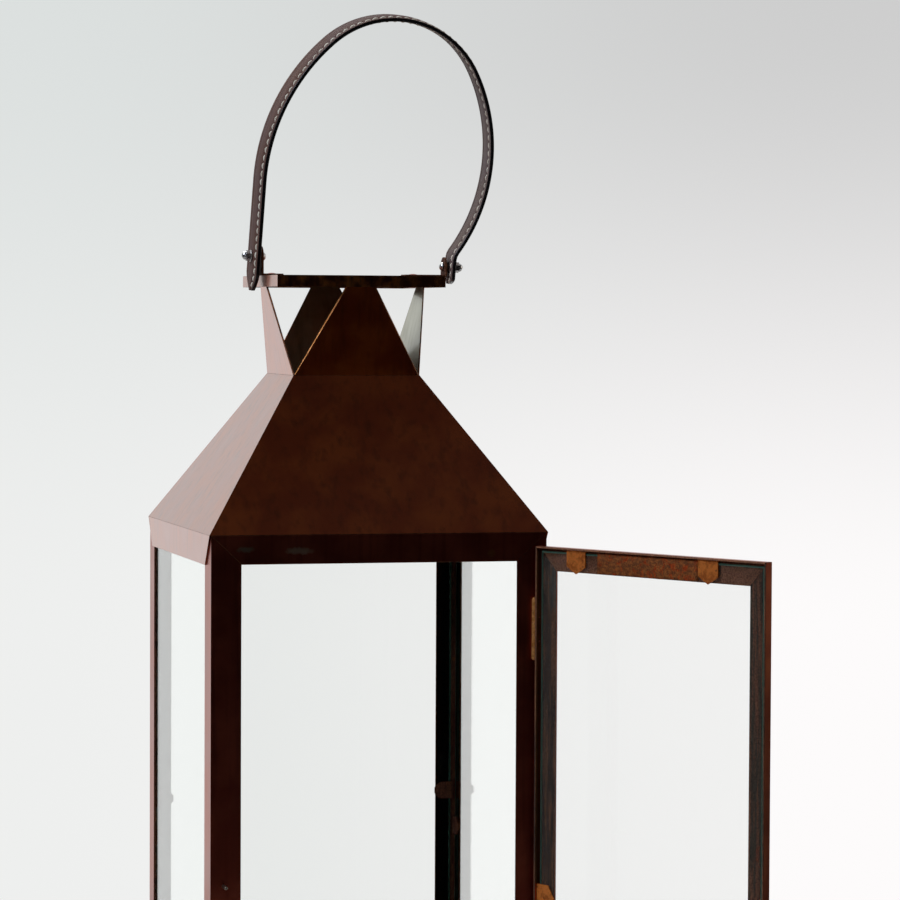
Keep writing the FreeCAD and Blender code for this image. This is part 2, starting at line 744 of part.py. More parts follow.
def hinge_pin(middle):
    """The pin, with a small button at each end."""
    low = middle - hinge_height / 2
    button = knuckle_radius - 0.2
    pin = rod(pin_radius, (hinge_x, hinge_y, low), (0, 0, 1), hinge_height)
    upper = dome(button, 0.9, (hinge_x, hinge_y, low + hinge_height), (0, 0, 1))
    lower = dome(button, 0.9, (hinge_x, hinge_y, low), (0, 0, -1))
    return pin.fuse([upper, lower]).removeSplitter()


latch_back = door_front - latch_stand_off      # the hook's inner face
latch_length = latch_x - keeper_x


def latch_pivot():
    """The stud that the hook turns on, soldered to the door's face, with a domed cap."""
    shank_length = latch_stand_off + latch_thick + 0.5
    shank = rod(latch_pivot_radius, (latch_x, door_front, latch_z), (0, -1, 0), shank_length)
    cap_at = (latch_x, door_front - shank_length, latch_z)
    return shank.fuse(dome(latch_cap_radius, latch_cap_height, cap_at, (0, -1, 0)))


def latch_hook():
    """The hook, hanging down; its slot faces the side that is underneath when it is latched."""
    w = latch_width / 2
    front = latch_back - latch_thick
    end = latch_length + latch_tip
    bar = box(latch_x - w, latch_x + w, front, latch_back, latch_z - end + w, latch_z)
    eye = rod(w, (latch_x, front, latch_z), (0, 1, 0), latch_thick)
    tip = rod(w, (latch_x, front, latch_z - end + w), (0, 1, 0), latch_thick)
    hook = bar.fuse([eye, tip]).removeSplitter()
    slot_radius = keeper_radius + part_gap
    slot_z = latch_z - latch_length
    slot = rod(slot_radius, (latch_x, front - 1, slot_z), (0, 1, 0), latch_thick + 2)
    mouth = box(latch_x, latch_x + w + 1, front - 1, latch_back + 1, slot_z - slot_radius, slot_z + slot_radius)
    bore = rod(latch_pivot_radius + turn_clearance, (latch_x, front - 1, latch_z), (0, 1, 0), latch_thick + 2)
    return hook.cut([slot, mouth, bore])


def latch_keeper():
    """The round-ended pin on the left post that the hook drops over."""
    length = keeper_reach - keeper_radius
    pin = rod(keeper_radius, (keeper_x, front_face, latch_z), (0, -1, 0), length)
    end = Part.makeSphere(keeper_radius, FreeCAD.Vector(keeper_x, front_face - length, latch_z))
    return pin.fuse(end).removeSplitter()


# ---------------------------------------------------------------- write every node
os.makedirs("parts", exist_ok=True)

write("base_pan", base_pan())
write("base_pads", *base_pads())

write("front_left_post", front_post("left"))
right_post = front_post("right")
for centre in hinge_centres:
    right_post = right_post.cut([frame_rivet(z, False) for z in frame_rivet_heights(centre)])
write("front_right_post", right_post)
write("rear_left_post", rear_post("left"))
write("rear_right_post", rear_post("right"))
write("front_top_rail", front_rail("top"))
write("front_bottom_rail", front_rail("bottom"))
for rail_side in ("left", "right", "rear"):
    write(rail_side + "_top_rail", plain_rail(rail_side, True))
    write(rail_side + "_bottom_rail", plain_rail(rail_side, False))

write("left_glass", side_pane(-1))
write("right_glass", side_pane(1))
write("rear_glass", rear_pane())
write("left_glass_clips", *side_clips(-1))
write("right_glass_clips", *side_clips(1))
write("rear_glass_clips", *rear_clips())

lipped_panel = roof_panel(True)
write("roof_front_panel", roof_panel(False))
write("roof_right_panel", turned(lipped_panel, 1))
write("roof_rear_panel", turned(lipped_panel, 2))
write("roof_left_panel", turned(lipped_panel, 3))

(left_lug, left_rivet_x), (right_lug, right_rivet_x) = lugs()
lug_rivets = [lug_rivet(left_rivet_x), lug_rivet(right_rivet_x)]
write("cap", cap().cut(lug_rivets))
write("left_handle_lug", left_lug)
write("right_handle_lug", right_lug)
write("lug_rivets", *lug_rivets)

handle_cover, handle_lining, handle_core = strap_layers()
write("handle_outer_leather", placed(handle_cover))
write("handle_lining", placed(handle_lining))
write("handle_core", placed(handle_core))
left_set = bolt_set(0, -1)
right_set = bolt_set(right_eye, 1)
for index, item in enumerate(("handle_bolts", "handle_washers", "handle_spacers", "handle_dome_nuts")):
    write(item, placed(left_set[index]), placed(right_set[index]))

for bar_side, bar_name in (("left", "door_free_stile"), ("top", "door_top_rail"), ("bottom", "door_bottom_rail")):
    write(bar_name, swung(door_bar(bar_side)))
hinge_stile = door_bar("right")
for centre in hinge_centres:
    hinge_stile = hinge_stile.cut([door_rivet(z, False) for z in door_rivet_heights(centre)])
write("door_hinge_stile", swung(hinge_stile))
write("door_glass", swung(door_glass()))
for clip_side in ("top", "bottom", "side"):
    write("door_" + clip_side + "_clips", *[swung(clip) for clip in door_clips(clip_side)])

frame_rivets = []
door_rivets = []
for place, centre in zip(("upper", "lower"), hinge_centres):
    write(place + "_hinge_frame_leaf", frame_leaf(centre))
    write(place + "_hinge_door_leaf", swung(door_leaf(centre)))
    write(place + "_hinge_pin", hinge_pin(centre))
    frame_rivets += [frame_rivet(z) for z in frame_rivet_heights(centre)]
    door_rivets += [swung(door_rivet(z)) for z in door_rivet_heights(centre)]
write("hinge_frame_rivets", *frame_rivets)
write("hinge_door_rivets", *door_rivets)

write("latch_pivot", swung(latch_pivot()))
write("latch_hook", swung(latch_hook()))
write("latch_keeper", latch_keeper())
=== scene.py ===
"""Looks of a glazed steel candle lantern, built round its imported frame.

Metres, +Z up, the front looks along -Y, the origin is on the floor under the middle of the base.
Steel pieces keep the frame's shape and get their edges broken and their finishes. The strap handle is
made anew as two sewn layers of leather. Each class below is one sub-assembly of the lantern.
"""

import json
import logging
import math
import random
from dataclasses import dataclass, field
from enum import Enum
from typing import Any, Callable, Sequence

import bmesh
import bpy
from mathutils import Matrix, Vector


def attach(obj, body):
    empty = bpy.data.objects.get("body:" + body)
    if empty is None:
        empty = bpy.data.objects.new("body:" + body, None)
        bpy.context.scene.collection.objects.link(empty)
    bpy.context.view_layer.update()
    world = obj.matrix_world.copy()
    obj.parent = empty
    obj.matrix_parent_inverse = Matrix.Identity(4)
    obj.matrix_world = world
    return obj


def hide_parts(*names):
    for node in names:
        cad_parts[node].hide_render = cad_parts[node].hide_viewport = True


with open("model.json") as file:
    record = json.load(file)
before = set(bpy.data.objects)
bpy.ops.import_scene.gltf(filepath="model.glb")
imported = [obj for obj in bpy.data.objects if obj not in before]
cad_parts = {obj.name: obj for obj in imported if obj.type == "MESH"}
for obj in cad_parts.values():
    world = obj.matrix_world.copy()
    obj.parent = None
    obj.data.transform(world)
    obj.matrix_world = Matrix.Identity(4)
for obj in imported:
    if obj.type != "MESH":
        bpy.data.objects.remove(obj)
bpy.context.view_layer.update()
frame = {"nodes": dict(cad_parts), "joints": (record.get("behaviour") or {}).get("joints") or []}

MM = 0.001
# Height above which the roof panels are the neck's tabs.
NECK = 505 * MM
# Half the neck's width, less a little.
NECK_HALF = 36 * MM
# Places of a colour Mix node's sockets.
COLOUR_A = 6
COLOUR_B = 7
COLOUR_OUT = 2

Tree = bpy.types.NodeTree
Node = bpy.types.Node
Socket = bpy.types.NodeSocket

log = logging.getLogger("lantern")


# ---------------------------------------------------------------- small helpers
def srgb(code: str) -> tuple[float, float, float, float]:
    """Linear colour of an sRGB hex value.

    Args:
        code: six hex digits after a hash sign.

    Returns:
        Red, green and blue, linear, and an opacity of 1.
    """
    def linear(value: int) -> float:
        """One channel, from 0..255 to linear 0..1."""
        share = value / 255
        return share / 12.92 if share <= 0.04045 else ((share + 0.055) / 1.055) ** 2.4

    channels = [linear(int(code[i:i + 2], 16)) for i in (1, 3, 5)]
    return (channels[0], channels[1], channels[2], 1.0)


def fill(tree: Tree, node: Node, inputs: dict) -> None:
    """Gives a node's inputs their values.

    Args:
        tree: the tree that holds the node.
        node: the node.
        inputs: input name or place, and a value or the socket that feeds it.
    """
    for place, value in inputs.items():
        if isinstance(value, Socket):
            tree.links.new(value, node.inputs[place])
        else:
            node.inputs[place].default_value = value


def add_node(tree: Tree, kind: str, inputs: dict | None = None, **settings: Any) -> Node:
    """Adds a node with its settings, and fills or links its inputs.

    Args:
        tree: the tree that gets the node.
        kind: the node's type name.
        inputs: input name or place, and a value or the socket that feeds it.
        settings: properties of the node.

    Returns:
        The node.
    """
    node = tree.nodes.new(kind)
    for name, value in settings.items():
        setattr(node, name, value)
    fill(tree, node, inputs or {})
    return node


def plain_mesh(piece: bpy.types.Object) -> bpy.types.Object:
    """Turns a piece's live modifiers into plain mesh.

    Args:
        piece: an object with modifiers.

    Returns:
        The same object, with its evaluated mesh and no modifiers.
    """
    graph = bpy.context.evaluated_depsgraph_get()
    made = bpy.data.meshes.new_from_object(piece.evaluated_get(graph), depsgraph=graph)
    made.name = piece.name
    piece.modifiers.clear()
    piece.data = made
    return piece


def new_piece(name: str, mesh: bpy.types.Mesh) -> bpy.types.Object:
    """Puts a mesh in the scene, at the origin.

    Args:
        name: the piece's name.
        mesh: its mesh.

    Returns:
        The object.
    """
    piece = bpy.data.objects.new(name, mesh)
    bpy.context.scene.collection.objects.link(piece)
    return piece


def closed_mesh(shape: bmesh.types.BMesh, name: str, paints: Sequence["Paint"]) -> bpy.types.Mesh:
    """Turns a shape's faces outward and makes it a mesh.

    Args:
        shape: a closed shape, used up.
        name: the mesh's name.
        paints: the finishes of its faces, by index.

    Returns:
        The mesh.
    """
    bmesh.ops.recalc_face_normals(shape, faces=shape.faces)
    mesh = bpy.data.meshes.new(name)
    shape.to_mesh(mesh)
    shape.free()
    for paint in paints:
        mesh.materials.append(paint.make())
    return mesh


def joint(name: str) -> dict:
    """A joint of the frame by name."""
    return next(j for j in frame["joints"] if j["name"] == name)


# ---------------------------------------------------------------- finishes
@dataclass(frozen=True)
class Finish:
    """What every finish shares: a name and one material made once."""

    name: str

    def paint(self, tree: Tree, shader: Node, place: Socket) -> None:
        """Fills the shader.

        Args:
            tree: the material's tree.
            shader: its Principled BSDF.
            place: Object coordinates, in metres.
        """
        raise NotImplementedError

    def material(self) -> bpy.types.Material:
        """The finish's material, made on first use.

        Returns:
            The material, under a name that no slot of the frame has.
        """
        title = "finish_" + self.name
        found = bpy.data.materials.get(title)
        if found:
            return found
        made = bpy.data.materials.new(title)
        made.use_nodes = True
        shader = made.node_tree.nodes["Principled BSDF"]
        coordinates = add_node(made.node_tree, "ShaderNodeTexCoord")
        self.paint(made.node_tree, shader, coordinates.outputs["Object"])
        return made


@dataclass(frozen=True)
class Mark:
    """A ragged oval of another colour at one place on the lantern."""

    centre: tuple[float, float, float]
    size: tuple[float, float, float]
    colour: str


def add_marks(tree: Tree, place: Socket, under: Socket, marks: Sequence[Mark]) -> Socket:
    """Lays ragged ovals of other colours over a colour.

    Args:
        tree: the material's tree.
        place: Object coordinates.
        under: the colour below them.
        marks: the ovals.

    Returns:
        The colour with the ovals on it.
    """
    ragged = add_node(tree, "ShaderNodeTexNoise", {
        "Vector": place, "Scale": 1 / (2.4 * MM), "Detail": 5.0})
    for mark in marks:
        shift = tuple(-c / r for c, r in zip(mark.centre, mark.size))
        near = add_node(tree, "ShaderNodeMapping", {
            "Vector": place, "Location": shift, "Scale": tuple(1 / r for r in mark.size)})
        reach = add_node(tree, "ShaderNodeVectorMath", {0: near.outputs[0]}, operation="LENGTH")
        rough_reach = add_node(tree, "ShaderNodeMath", {
            0: reach.outputs["Value"], 1: ragged.outputs[0]}, operation="ADD")
        share = add_node(tree, "ShaderNodeMapRange", {
            "Value": rough_reach.outputs[0], "From Min": 1.5, "From Max": 0.9, "To Max": 0.9})
        under = add_node(tree, "ShaderNodeMix", {
            "Factor": share.outputs[0], COLOUR_A: under, COLOUR_B: srgb(mark.colour)},
            data_type="RGBA").outputs[COLOUR_OUT]
    return under


@dataclass(frozen=True)
class LacqueredSteel(Finish):
    """Mild steel sheet, heat-browned and sealed with an amber lacquer: it is dark and glossy face on, and
    turns to a pale sheen where it is seen along the surface. The lacquer lies in soft clouds with runs."""

    body: str = "#8C421E"
    cloud: str = "#9C4E26"
    run: str = "#6A3014"
    metal: float = 1.0
    rough: float = 0.30
    coat: float = 0.72
    cloud_size: float = 26 * MM
    run_width: float = 5 * MM
    wave_size: float = 70 * MM
    wave_height: float = 0.10 * MM
    peel_size: float = 1.1 * MM
    peel_depth: float = 0.02 * MM
    marks: tuple[Mark, ...] = ()

    def paint(self, tree: Tree, shader: Node, place: Socket) -> None:
        """Clouds, upright runs, a gently wavy sheet and a slightly uneven gloss.

        Args:
            tree: the material's tree.
            shader: its Principled BSDF.
            place: Object coordinates, in metres.
        """
        clouds = add_node(tree, "ShaderNodeTexNoise", {
            "Vector": place, "Scale": 1 / self.cloud_size, "Detail": 5.0})
        stretch = add_node(tree, "ShaderNodeMapping", {"Vector": place, "Scale": (1.0, 1.0, 0.05)})
        runs = add_node(tree, "ShaderNodeTexNoise", {
            "Vector": stretch.outputs[0], "Scale": 1 / self.run_width, "Detail": 3.0})
        cloud_share = add_node(tree, "ShaderNodeMapRange", {
            "Value": clouds.outputs[0], "From Min": 0.38, "From Max": 0.68},
            interpolation_type="SMOOTHSTEP")
        run_share = add_node(tree, "ShaderNodeMapRange", {
            "Value": runs.outputs[0], "From Min": 0.5, "From Max": 0.75, "To Max": 0.6})
        tone = add_node(tree, "ShaderNodeMix", {
            "Factor": cloud_share.outputs[0], COLOUR_A: srgb(self.body), COLOUR_B: srgb(self.cloud)},
            data_type="RGBA")
        toned = add_node(tree, "ShaderNodeMix", {
            "Factor": run_share.outputs[0], COLOUR_A: tone.outputs[COLOUR_OUT],
            COLOUR_B: srgb(self.run)}, data_type="RGBA")
        gloss = add_node(tree, "ShaderNodeMapRange", {
            "Value": clouds.outputs[0], "To Min": self.rough - 0.06, "To Max": self.rough + 0.08})
        wave = add_node(tree, "ShaderNodeTexNoise", {
            "Vector": place, "Scale": 1 / self.wave_size, "Detail": 1.0})
        peel = add_node(tree, "ShaderNodeTexNoise", {
            "Vector": place, "Scale": 1 / self.peel_size, "Detail": 2.0})
        sheet = add_node(tree, "ShaderNodeBump", {
            "Height": wave.outputs[0], "Strength": 1.0, "Distance": self.wave_height})
        skin = add_node(tree, "ShaderNodeBump", {
            "Height": peel.outputs[0], "Strength": 0.25, "Distance": self.peel_depth,
            "Normal": sheet.outputs[0]})
        marked = add_marks(tree, place, toned.outputs[COLOUR_OUT], self.marks)
        fill(tree, shader, {
            "Base Color": marked, "Roughness": gloss.outputs[0], "Normal": skin.outputs[0],
            "Metallic": self.metal, "Coat Weight": self.coat, "Coat Roughness": 0.12})


@dataclass(frozen=True)
class RustedSteel(Finish):
    """Steel left bare behind the glass line: grey-brown mill scale with upright rust streaks and orange
    blooms of rust where flux was never cleaned off. It is matt and a little pitted."""

    scale: str = "#3A302B"
    brown: str = "#5E3826"
    rust: str = "#A4501C"
    metal: float = 0.12
    rough: float = 0.60
    shine: float = 0.30
    streak_width: float = 2.6 * MM
    bloom_size: float = 13 * MM
    bloom_start: float = 0.58
    brown_start: float = 0.46
    pit_size: float = 0.9 * MM
    pit_depth: float = 0.08 * MM
    along: tuple[float, float, float] = (1.0, 1.0, 0.06)
    marks: tuple[Mark, ...] = ()

    def paint(self, tree: Tree, shader: Node, place: Socket) -> None:
        """Mill scale, streaks along the bar, rust blooms and their roughness.

        Args:
            tree: the material's tree.
            shader: its Principled BSDF.
            place: Object coordinates, in metres.
        """
        stretch = add_node(tree, "ShaderNodeMapping", {"Vector": place, "Scale": self.along})
        streaks = add_node(tree, "ShaderNodeTexNoise", {
            "Vector": stretch.outputs[0], "Scale": 1 / self.streak_width, "Detail": 6.0, "Roughness": 0.6})
        blooms = add_node(tree, "ShaderNodeTexNoise", {
            "Vector": place, "Scale": 1 / self.bloom_size, "Detail": 6.0, "Roughness": 0.68,
            "Distortion": 0.6})
        pits = add_node(tree, "ShaderNodeTexNoise", {
            "Vector": place, "Scale": 1 / self.pit_size, "Detail": 4.0})
        brown_share = add_node(tree, "ShaderNodeMapRange", {
            "Value": streaks.outputs[0], "From Min": self.brown_start, "From Max": self.brown_start + 0.12})
        rust_share = add_node(tree, "ShaderNodeMapRange", {
            "Value": blooms.outputs[0], "From Min": self.bloom_start, "From Max": self.bloom_start + 0.14},
            interpolation_type="SMOOTHSTEP")
        browned = add_node(tree, "ShaderNodeMix", {
            "Factor": brown_share.outputs[0], COLOUR_A: srgb(self.scale), COLOUR_B: srgb(self.brown)},
            data_type="RGBA")
        rusted = add_node(tree, "ShaderNodeMix", {
            "Factor": rust_share.outputs[0], COLOUR_A: browned.outputs[COLOUR_OUT],
            COLOUR_B: srgb(self.rust)}, data_type="RGBA")
        speckle = add_node(tree, "ShaderNodeMapRange", {
            "Value": pits.outputs[0], "From Min": 0.35, "From Max": 0.65, "To Min": 0.55, "To Max": 1.25})
        shaded = add_node(tree, "ShaderNodeMix", {
            "Factor": 1.0, COLOUR_A: rusted.outputs[COLOUR_OUT], COLOUR_B: speckle.outputs[0]},
            data_type="RGBA", blend_type="MULTIPLY")
        gloss = add_node(tree, "ShaderNodeMapRange", {
            "Value": rust_share.outputs[0], "To Min": self.rough, "To Max": self.rough + 0.28})
        relief = add_node(tree, "ShaderNodeBump", {
            "Height": pits.outputs[0], "Strength": 0.6, "Distance": self.pit_depth})
        marked = add_marks(tree, place, shaded.outputs[COLOUR_OUT], self.marks)
        fill(tree, shader, {
            "Base Color": marked, "Roughness": gloss.outputs[0], "Normal": relief.outputs[0],
            "Metallic": self.metal, "Specular IOR Level": self.shine})


@dataclass(frozen=True)
class WornCopper(Finish):
    """Copper-rich strip, tarnished by heat: orange where it is rubbed, brown and red in the hollows."""

    bright: str = "#B8743C"
    dull: str = "#6E3A1C"
    dark: str = "#3A1A10"
    metal: float = 0.8
    rough: float = 0.38
    patch: float = 4.5 * MM
    spot: float = 1.8 * MM
    dent: float = 0.15 * MM

    def paint(self, tree: Tree, shader: Node, place: Socket) -> None:
        """Tarnish in patches, dark spots and a rubbed, slightly dented face.

        Args:
            tree: the material's tree.
            shader: its Principled BSDF.
            place: Object coordinates, in metres.
        """
        patches = add_node(tree, "ShaderNodeTexNoise", {
            "Vector": place, "Scale": 1 / self.patch, "Detail": 5.0, "Roughness": 0.62})
        spots = add_node(tree, "ShaderNodeTexNoise", {
            "Vector": place, "Scale": 1 / self.spot, "Detail": 3.0})
        dull_share = add_node(tree, "ShaderNodeMapRange", {
            "Value": patches.outputs[0], "From Min": 0.42, "From Max": 0.62},
            interpolation_type="SMOOTHSTEP")
        spot_share = add_node(tree, "ShaderNodeMapRange", {
            "Value": spots.outputs[0], "From Min": 0.60, "From Max": 0.72, "To Max": 0.8})
        tone = add_node(tree, "ShaderNodeMix", {
            "Factor": dull_share.outputs[0], COLOUR_A: srgb(self.bright), COLOUR_B: srgb(self.dull)},
            data_type="RGBA")
        spotted = add_node(tree, "ShaderNodeMix", {
            "Factor": spot_share.outputs[0], COLOUR_A: tone.outputs[COLOUR_OUT],
            COLOUR_B: srgb(self.dark)}, data_type="RGBA")
        gloss = add_node(tree, "ShaderNodeMapRange", {
            "Value": patches.outputs[0], "To Min": self.rough - 0.1, "To Max": self.rough + 0.2})
        dents = add_node(tree, "ShaderNodeBump", {
            "Height": patches.outputs[0], "Strength": 0.8, "Distance": self.dent})
        fill(tree, shader, {
            "Base Color": spotted.outputs[COLOUR_OUT], "Roughness": gloss.outputs[0],
            "Normal": dents.outputs[0], "Metallic": self.metal})


@dataclass(frozen=True)
class NickelPlate(Finish):
    """Bright nickel on small turned steel: soft highlights and a trace of handling."""

    colour: str = "#EEF2FA"
    thin: str = "#A9A08F"
    rough: float = 0.24
    smudge: float = 2.0 * MM

    def paint(self, tree: Tree, shader: Node, place: Socket) -> None:
        """Smudges in the gloss and a slight tint where the plating is thin.

        Args:
            tree: the material's tree.
            shader: its Principled BSDF.
            place: Object coordinates, in metres.
        """
        smudge = add_node(tree, "ShaderNodeTexNoise", {
            "Vector": place, "Scale": 1 / self.smudge, "Detail": 4.0})
        tint = add_node(tree, "ShaderNodeMix", {
            "Factor": smudge.outputs[0], COLOUR_A: srgb(self.colour), COLOUR_B: srgb(self.thin)},
            data_type="RGBA")
        gloss = add_node(tree, "ShaderNodeMapRange", {
            "Value": smudge.outputs[0], "To Min": self.rough - 0.05, "To Max": self.rough + 0.14})
        fill(tree, shader, {
            "Base Color": tint.outputs[COLOUR_OUT], "Roughness": gloss.outputs[0], "Metallic": 1.0})


@dataclass(frozen=True)
class FloatGlass(Finish):
    """Soda-lime float glass: clear, with a faint green in its thickness and fire-polished faces."""

    tint: str = "#FCFEFD"
    index: float = 1.5
    wipe: float = 40 * MM

    def paint(self, tree: Tree, shader: Node, place: Socket) -> None:
        """A nearly perfect polish with the faint wipe marks of a cleaned pane.

        Args:
            tree: the material's tree.
            shader: its Principled BSDF.
            place: Object coordinates, in metres.
        """
        wipe = add_node(tree, "ShaderNodeTexNoise", {
            "Vector": place, "Scale": 1 / self.wipe, "Detail": 3.0})
        gloss = add_node(tree, "ShaderNodeMapRange", {
            "Value": wipe.outputs[0], "From Min": 0.4, "From Max": 0.8, "To Min": 0.0, "To Max": 0.008})
        fill(tree, shader, {
            "Roughness": gloss.outputs[0], "Base Color": srgb(self.tint), "Transmission Weight": 1.0,
            "IOR": self.index})


@dataclass(frozen=True)
class GroundGlass(Finish):
    """The seamed arris of a glass pane: ground matt, so it gathers the green of the whole sheet."""

    green: str = "#6E9C86"
    deep: str = "#3E6A58"
    index: float = 1.5
    grit: float = 1.2 * MM

    def paint(self, tree: Tree, shader: Node, place: Socket) -> None:
        """Grinding marks along the edge.

        Args:
            tree: the material's tree.
            shader: its Principled BSDF.
            place: Object coordinates, in metres.
        """
        grit = add_node(tree, "ShaderNodeTexNoise", {
            "Vector": place, "Scale": 1 / self.grit, "Detail": 4.0})
        tone = add_node(tree, "ShaderNodeMix", {
            "Factor": grit.outputs[0], COLOUR_A: srgb(self.deep), COLOUR_B: srgb(self.green)},
            data_type="RGBA")
        fill(tree, shader, {
            "Base Color": tone.outputs[COLOUR_OUT], "Roughness": 0.35, "Transmission Weight": 0.35,
            "IOR": self.index})


@dataclass(frozen=True)
class Leather(Finish):
    """Waxed harness leather: a fine pebbled grain, long pull-up streaks along the strap and a low sheen."""

    face: str = "#55382E"
    pull: str = "#74564A"
    sheen: str = "#5E4C50"
    glow: str = "#B8B0D0"
    rough: float = 0.66
    grain: float = 0.8 * MM
    grain_depth: float = 0.05 * MM
    pull_width: float = 3.0 * MM
    pull_depth: float = 0.15 * MM
    cloud_size: float = 18 * MM

    def paint(self, tree: Tree, shader: Node, place: Socket) -> None:
        """Grain cells, streaks along the strap's own length and worn, lighter ridges.

        Args:
            tree: the material's tree.
            shader: its Principled BSDF.
            place: Object coordinates, in metres.
        """
        strap = add_node(tree, "ShaderNodeUVMap", uv_map="strap")
        stretch = add_node(tree, "ShaderNodeMapping", {
            "Vector": strap.outputs[0], "Scale": (0.035, 1.0, 1.0)})
        pulls = add_node(tree, "ShaderNodeTexNoise", {
            "Vector": stretch.outputs[0], "Scale": 1 / self.pull_width, "Detail": 4.0, "Roughness": 0.6})
        cells = add_node(tree, "ShaderNodeTexVoronoi", {"Vector": place, "Scale": 1 / self.grain},
                         feature="DISTANCE_TO_EDGE")
        clouds = add_node(tree, "ShaderNodeTexNoise", {
            "Vector": place, "Scale": 1 / self.cloud_size, "Detail": 4.0})
        pull_share = add_node(tree, "ShaderNodeMapRange", {
            "Value": pulls.outputs[0], "From Min": 0.38, "From Max": 0.68})
        cloud_share = add_node(tree, "ShaderNodeMapRange", {
            "Value": clouds.outputs[0], "From Min": 0.4, "From Max": 0.7, "To Max": 0.35})
        tone = add_node(tree, "ShaderNodeMix", {
            "Factor": pull_share.outputs[0], COLOUR_A: srgb(self.face), COLOUR_B: srgb(self.pull)},
            data_type="RGBA")
        clouded = add_node(tree, "ShaderNodeMix", {
            "Factor": cloud_share.outputs[0], COLOUR_A: tone.outputs[COLOUR_OUT],
            COLOUR_B: srgb(self.sheen)}, data_type="RGBA")
        valley = add_node(tree, "ShaderNodeMapRange", {"Value": cells.outputs[0], "From Max": 0.12})
        relief = add_node(tree, "ShaderNodeBump", {
            "Height": valley.outputs[0], "Strength": 0.3, "Distance": self.grain_depth})
        crease = add_node(tree, "ShaderNodeBump", {
            "Height": pulls.outputs[0], "Strength": 0.3, "Distance": self.pull_depth,
            "Normal": relief.outputs[0]})
        gloss = add_node(tree, "ShaderNodeMapRange", {
            "Value": pulls.outputs[0], "To Min": self.rough - 0.08, "To Max": self.rough + 0.12})
        fill(tree, shader, {
            "Base Color": clouded.outputs[COLOUR_OUT], "Roughness": gloss.outputs[0],
            "Normal": crease.outputs[0], "Specular IOR Level": 0.12, "Sheen Weight": 0.05,
            "Sheen Roughness": 0.35, "Sheen Tint": srgb(self.glow)})


@dataclass(frozen=True)
class BurnishedEdge(Finish):
    """The strap's cut edge, dyed black and rubbed down with wax: smooth and dark."""

    ink: str = "#0B090B"
    rubbed: str = "#2A1C1C"
    rub_size: float = 5 * MM

    def paint(self, tree: Tree, shader: Node, place: Socket) -> None:
        """Black dye with brown showing through where it is rubbed.

        Args:
            tree: the material's tree.
            shader: its Principled BSDF.
            place: Object coordinates, in metres.
        """
        rub = add_node(tree, "ShaderNodeTexNoise", {
            "Vector": place, "Scale": 1 / self.rub_size, "Detail": 5.0})
        share = add_node(tree, "ShaderNodeMapRange", {
            "Value": rub.outputs[0], "From Min": 0.55, "From Max": 0.8, "To Max": 0.5})
        tone = add_node(tree, "ShaderNodeMix", {
            "Factor": share.outputs[0], COLOUR_A: srgb(self.ink), COLOUR_B: srgb(self.rubbed)},
            data_type="RGBA")
        fill(tree, shader, {
            "Base Color": tone.outputs[COLOUR_OUT], "Roughness": 0.34})


@dataclass(frozen=True)
class WaxedThread(Finish):
    """Waxed linen thread, cream with a little grime, its twist just visible."""

    cream: str = "#FBF3DF"
    grime: str = "#C4B798"
    dirt: float = 6 * MM
    twist: float = 0.5 * MM
    twist_depth: float = 0.1 * MM

    def paint(self, tree: Tree, shader: Node, place: Socket) -> None:
        """Uneven cream with the fuzz and twist of a two-ply thread.

        Args:
            tree: the material's tree.
            shader: its Principled BSDF.
            place: Object coordinates, in metres.
        """
        dirt = add_node(tree, "ShaderNodeTexNoise", {
            "Vector": place, "Scale": 1 / self.dirt, "Detail": 5.0})
        twist = add_node(tree, "ShaderNodeTexNoise", {
            "Vector": place, "Scale": 1 / self.twist, "Detail": 2.0})
        share = add_node(tree, "ShaderNodeMapRange", {
            "Value": dirt.outputs[0], "From Min": 0.45, "From Max": 0.75, "To Max": 0.7})
        tone = add_node(tree, "ShaderNodeMix", {
            "Factor": share.outputs[0], COLOUR_A: srgb(self.cream), COLOUR_B: srgb(self.grime)},
            data_type="RGBA")
        relief = add_node(tree, "ShaderNodeBump", {
            "Height": twist.outputs[0], "Strength": 0.6, "Distance": self.twist_depth})
        fill(tree, shader, {
            "Base Color": tone.outputs[COLOUR_OUT], "Normal": relief.outputs[0], "Roughness": 0.62,
            "Sheen Weight": 0.3})


@dataclass(frozen=True)
class MattRubber(Finish):
    """Black moulded rubber, matt and dusty."""

    colour: str = "#17161A"
    dusty: str = "#3A3836"
    dust_size: float = 4 * MM
    dust_depth: float = 0.05 * MM

    def paint(self, tree: Tree, shader: Node, place: Socket) -> None:
        """Dust in soft clouds on a fine moulded texture.

        Args:
            tree: the material's tree.
            shader: its Principled BSDF.
            place: Object coordinates, in metres.
        """
        dust = add_node(tree, "ShaderNodeTexNoise", {
            "Vector": place, "Scale": 1 / self.dust_size, "Detail": 5.0})
        tone = add_node(tree, "ShaderNodeMix", {
            "Factor": dust.outputs[0], COLOUR_A: srgb(self.colour), COLOUR_B: srgb(self.dusty)},
            data_type="RGBA")
        relief = add_node(tree, "ShaderNodeBump", {
            "Height": dust.outputs[0], "Strength": 0.4, "Distance": self.dust_depth})
        fill(tree, shader, {
            "Base Color": tone.outputs[COLOUR_OUT], "Normal": relief.outputs[0], "Roughness": 0.8})


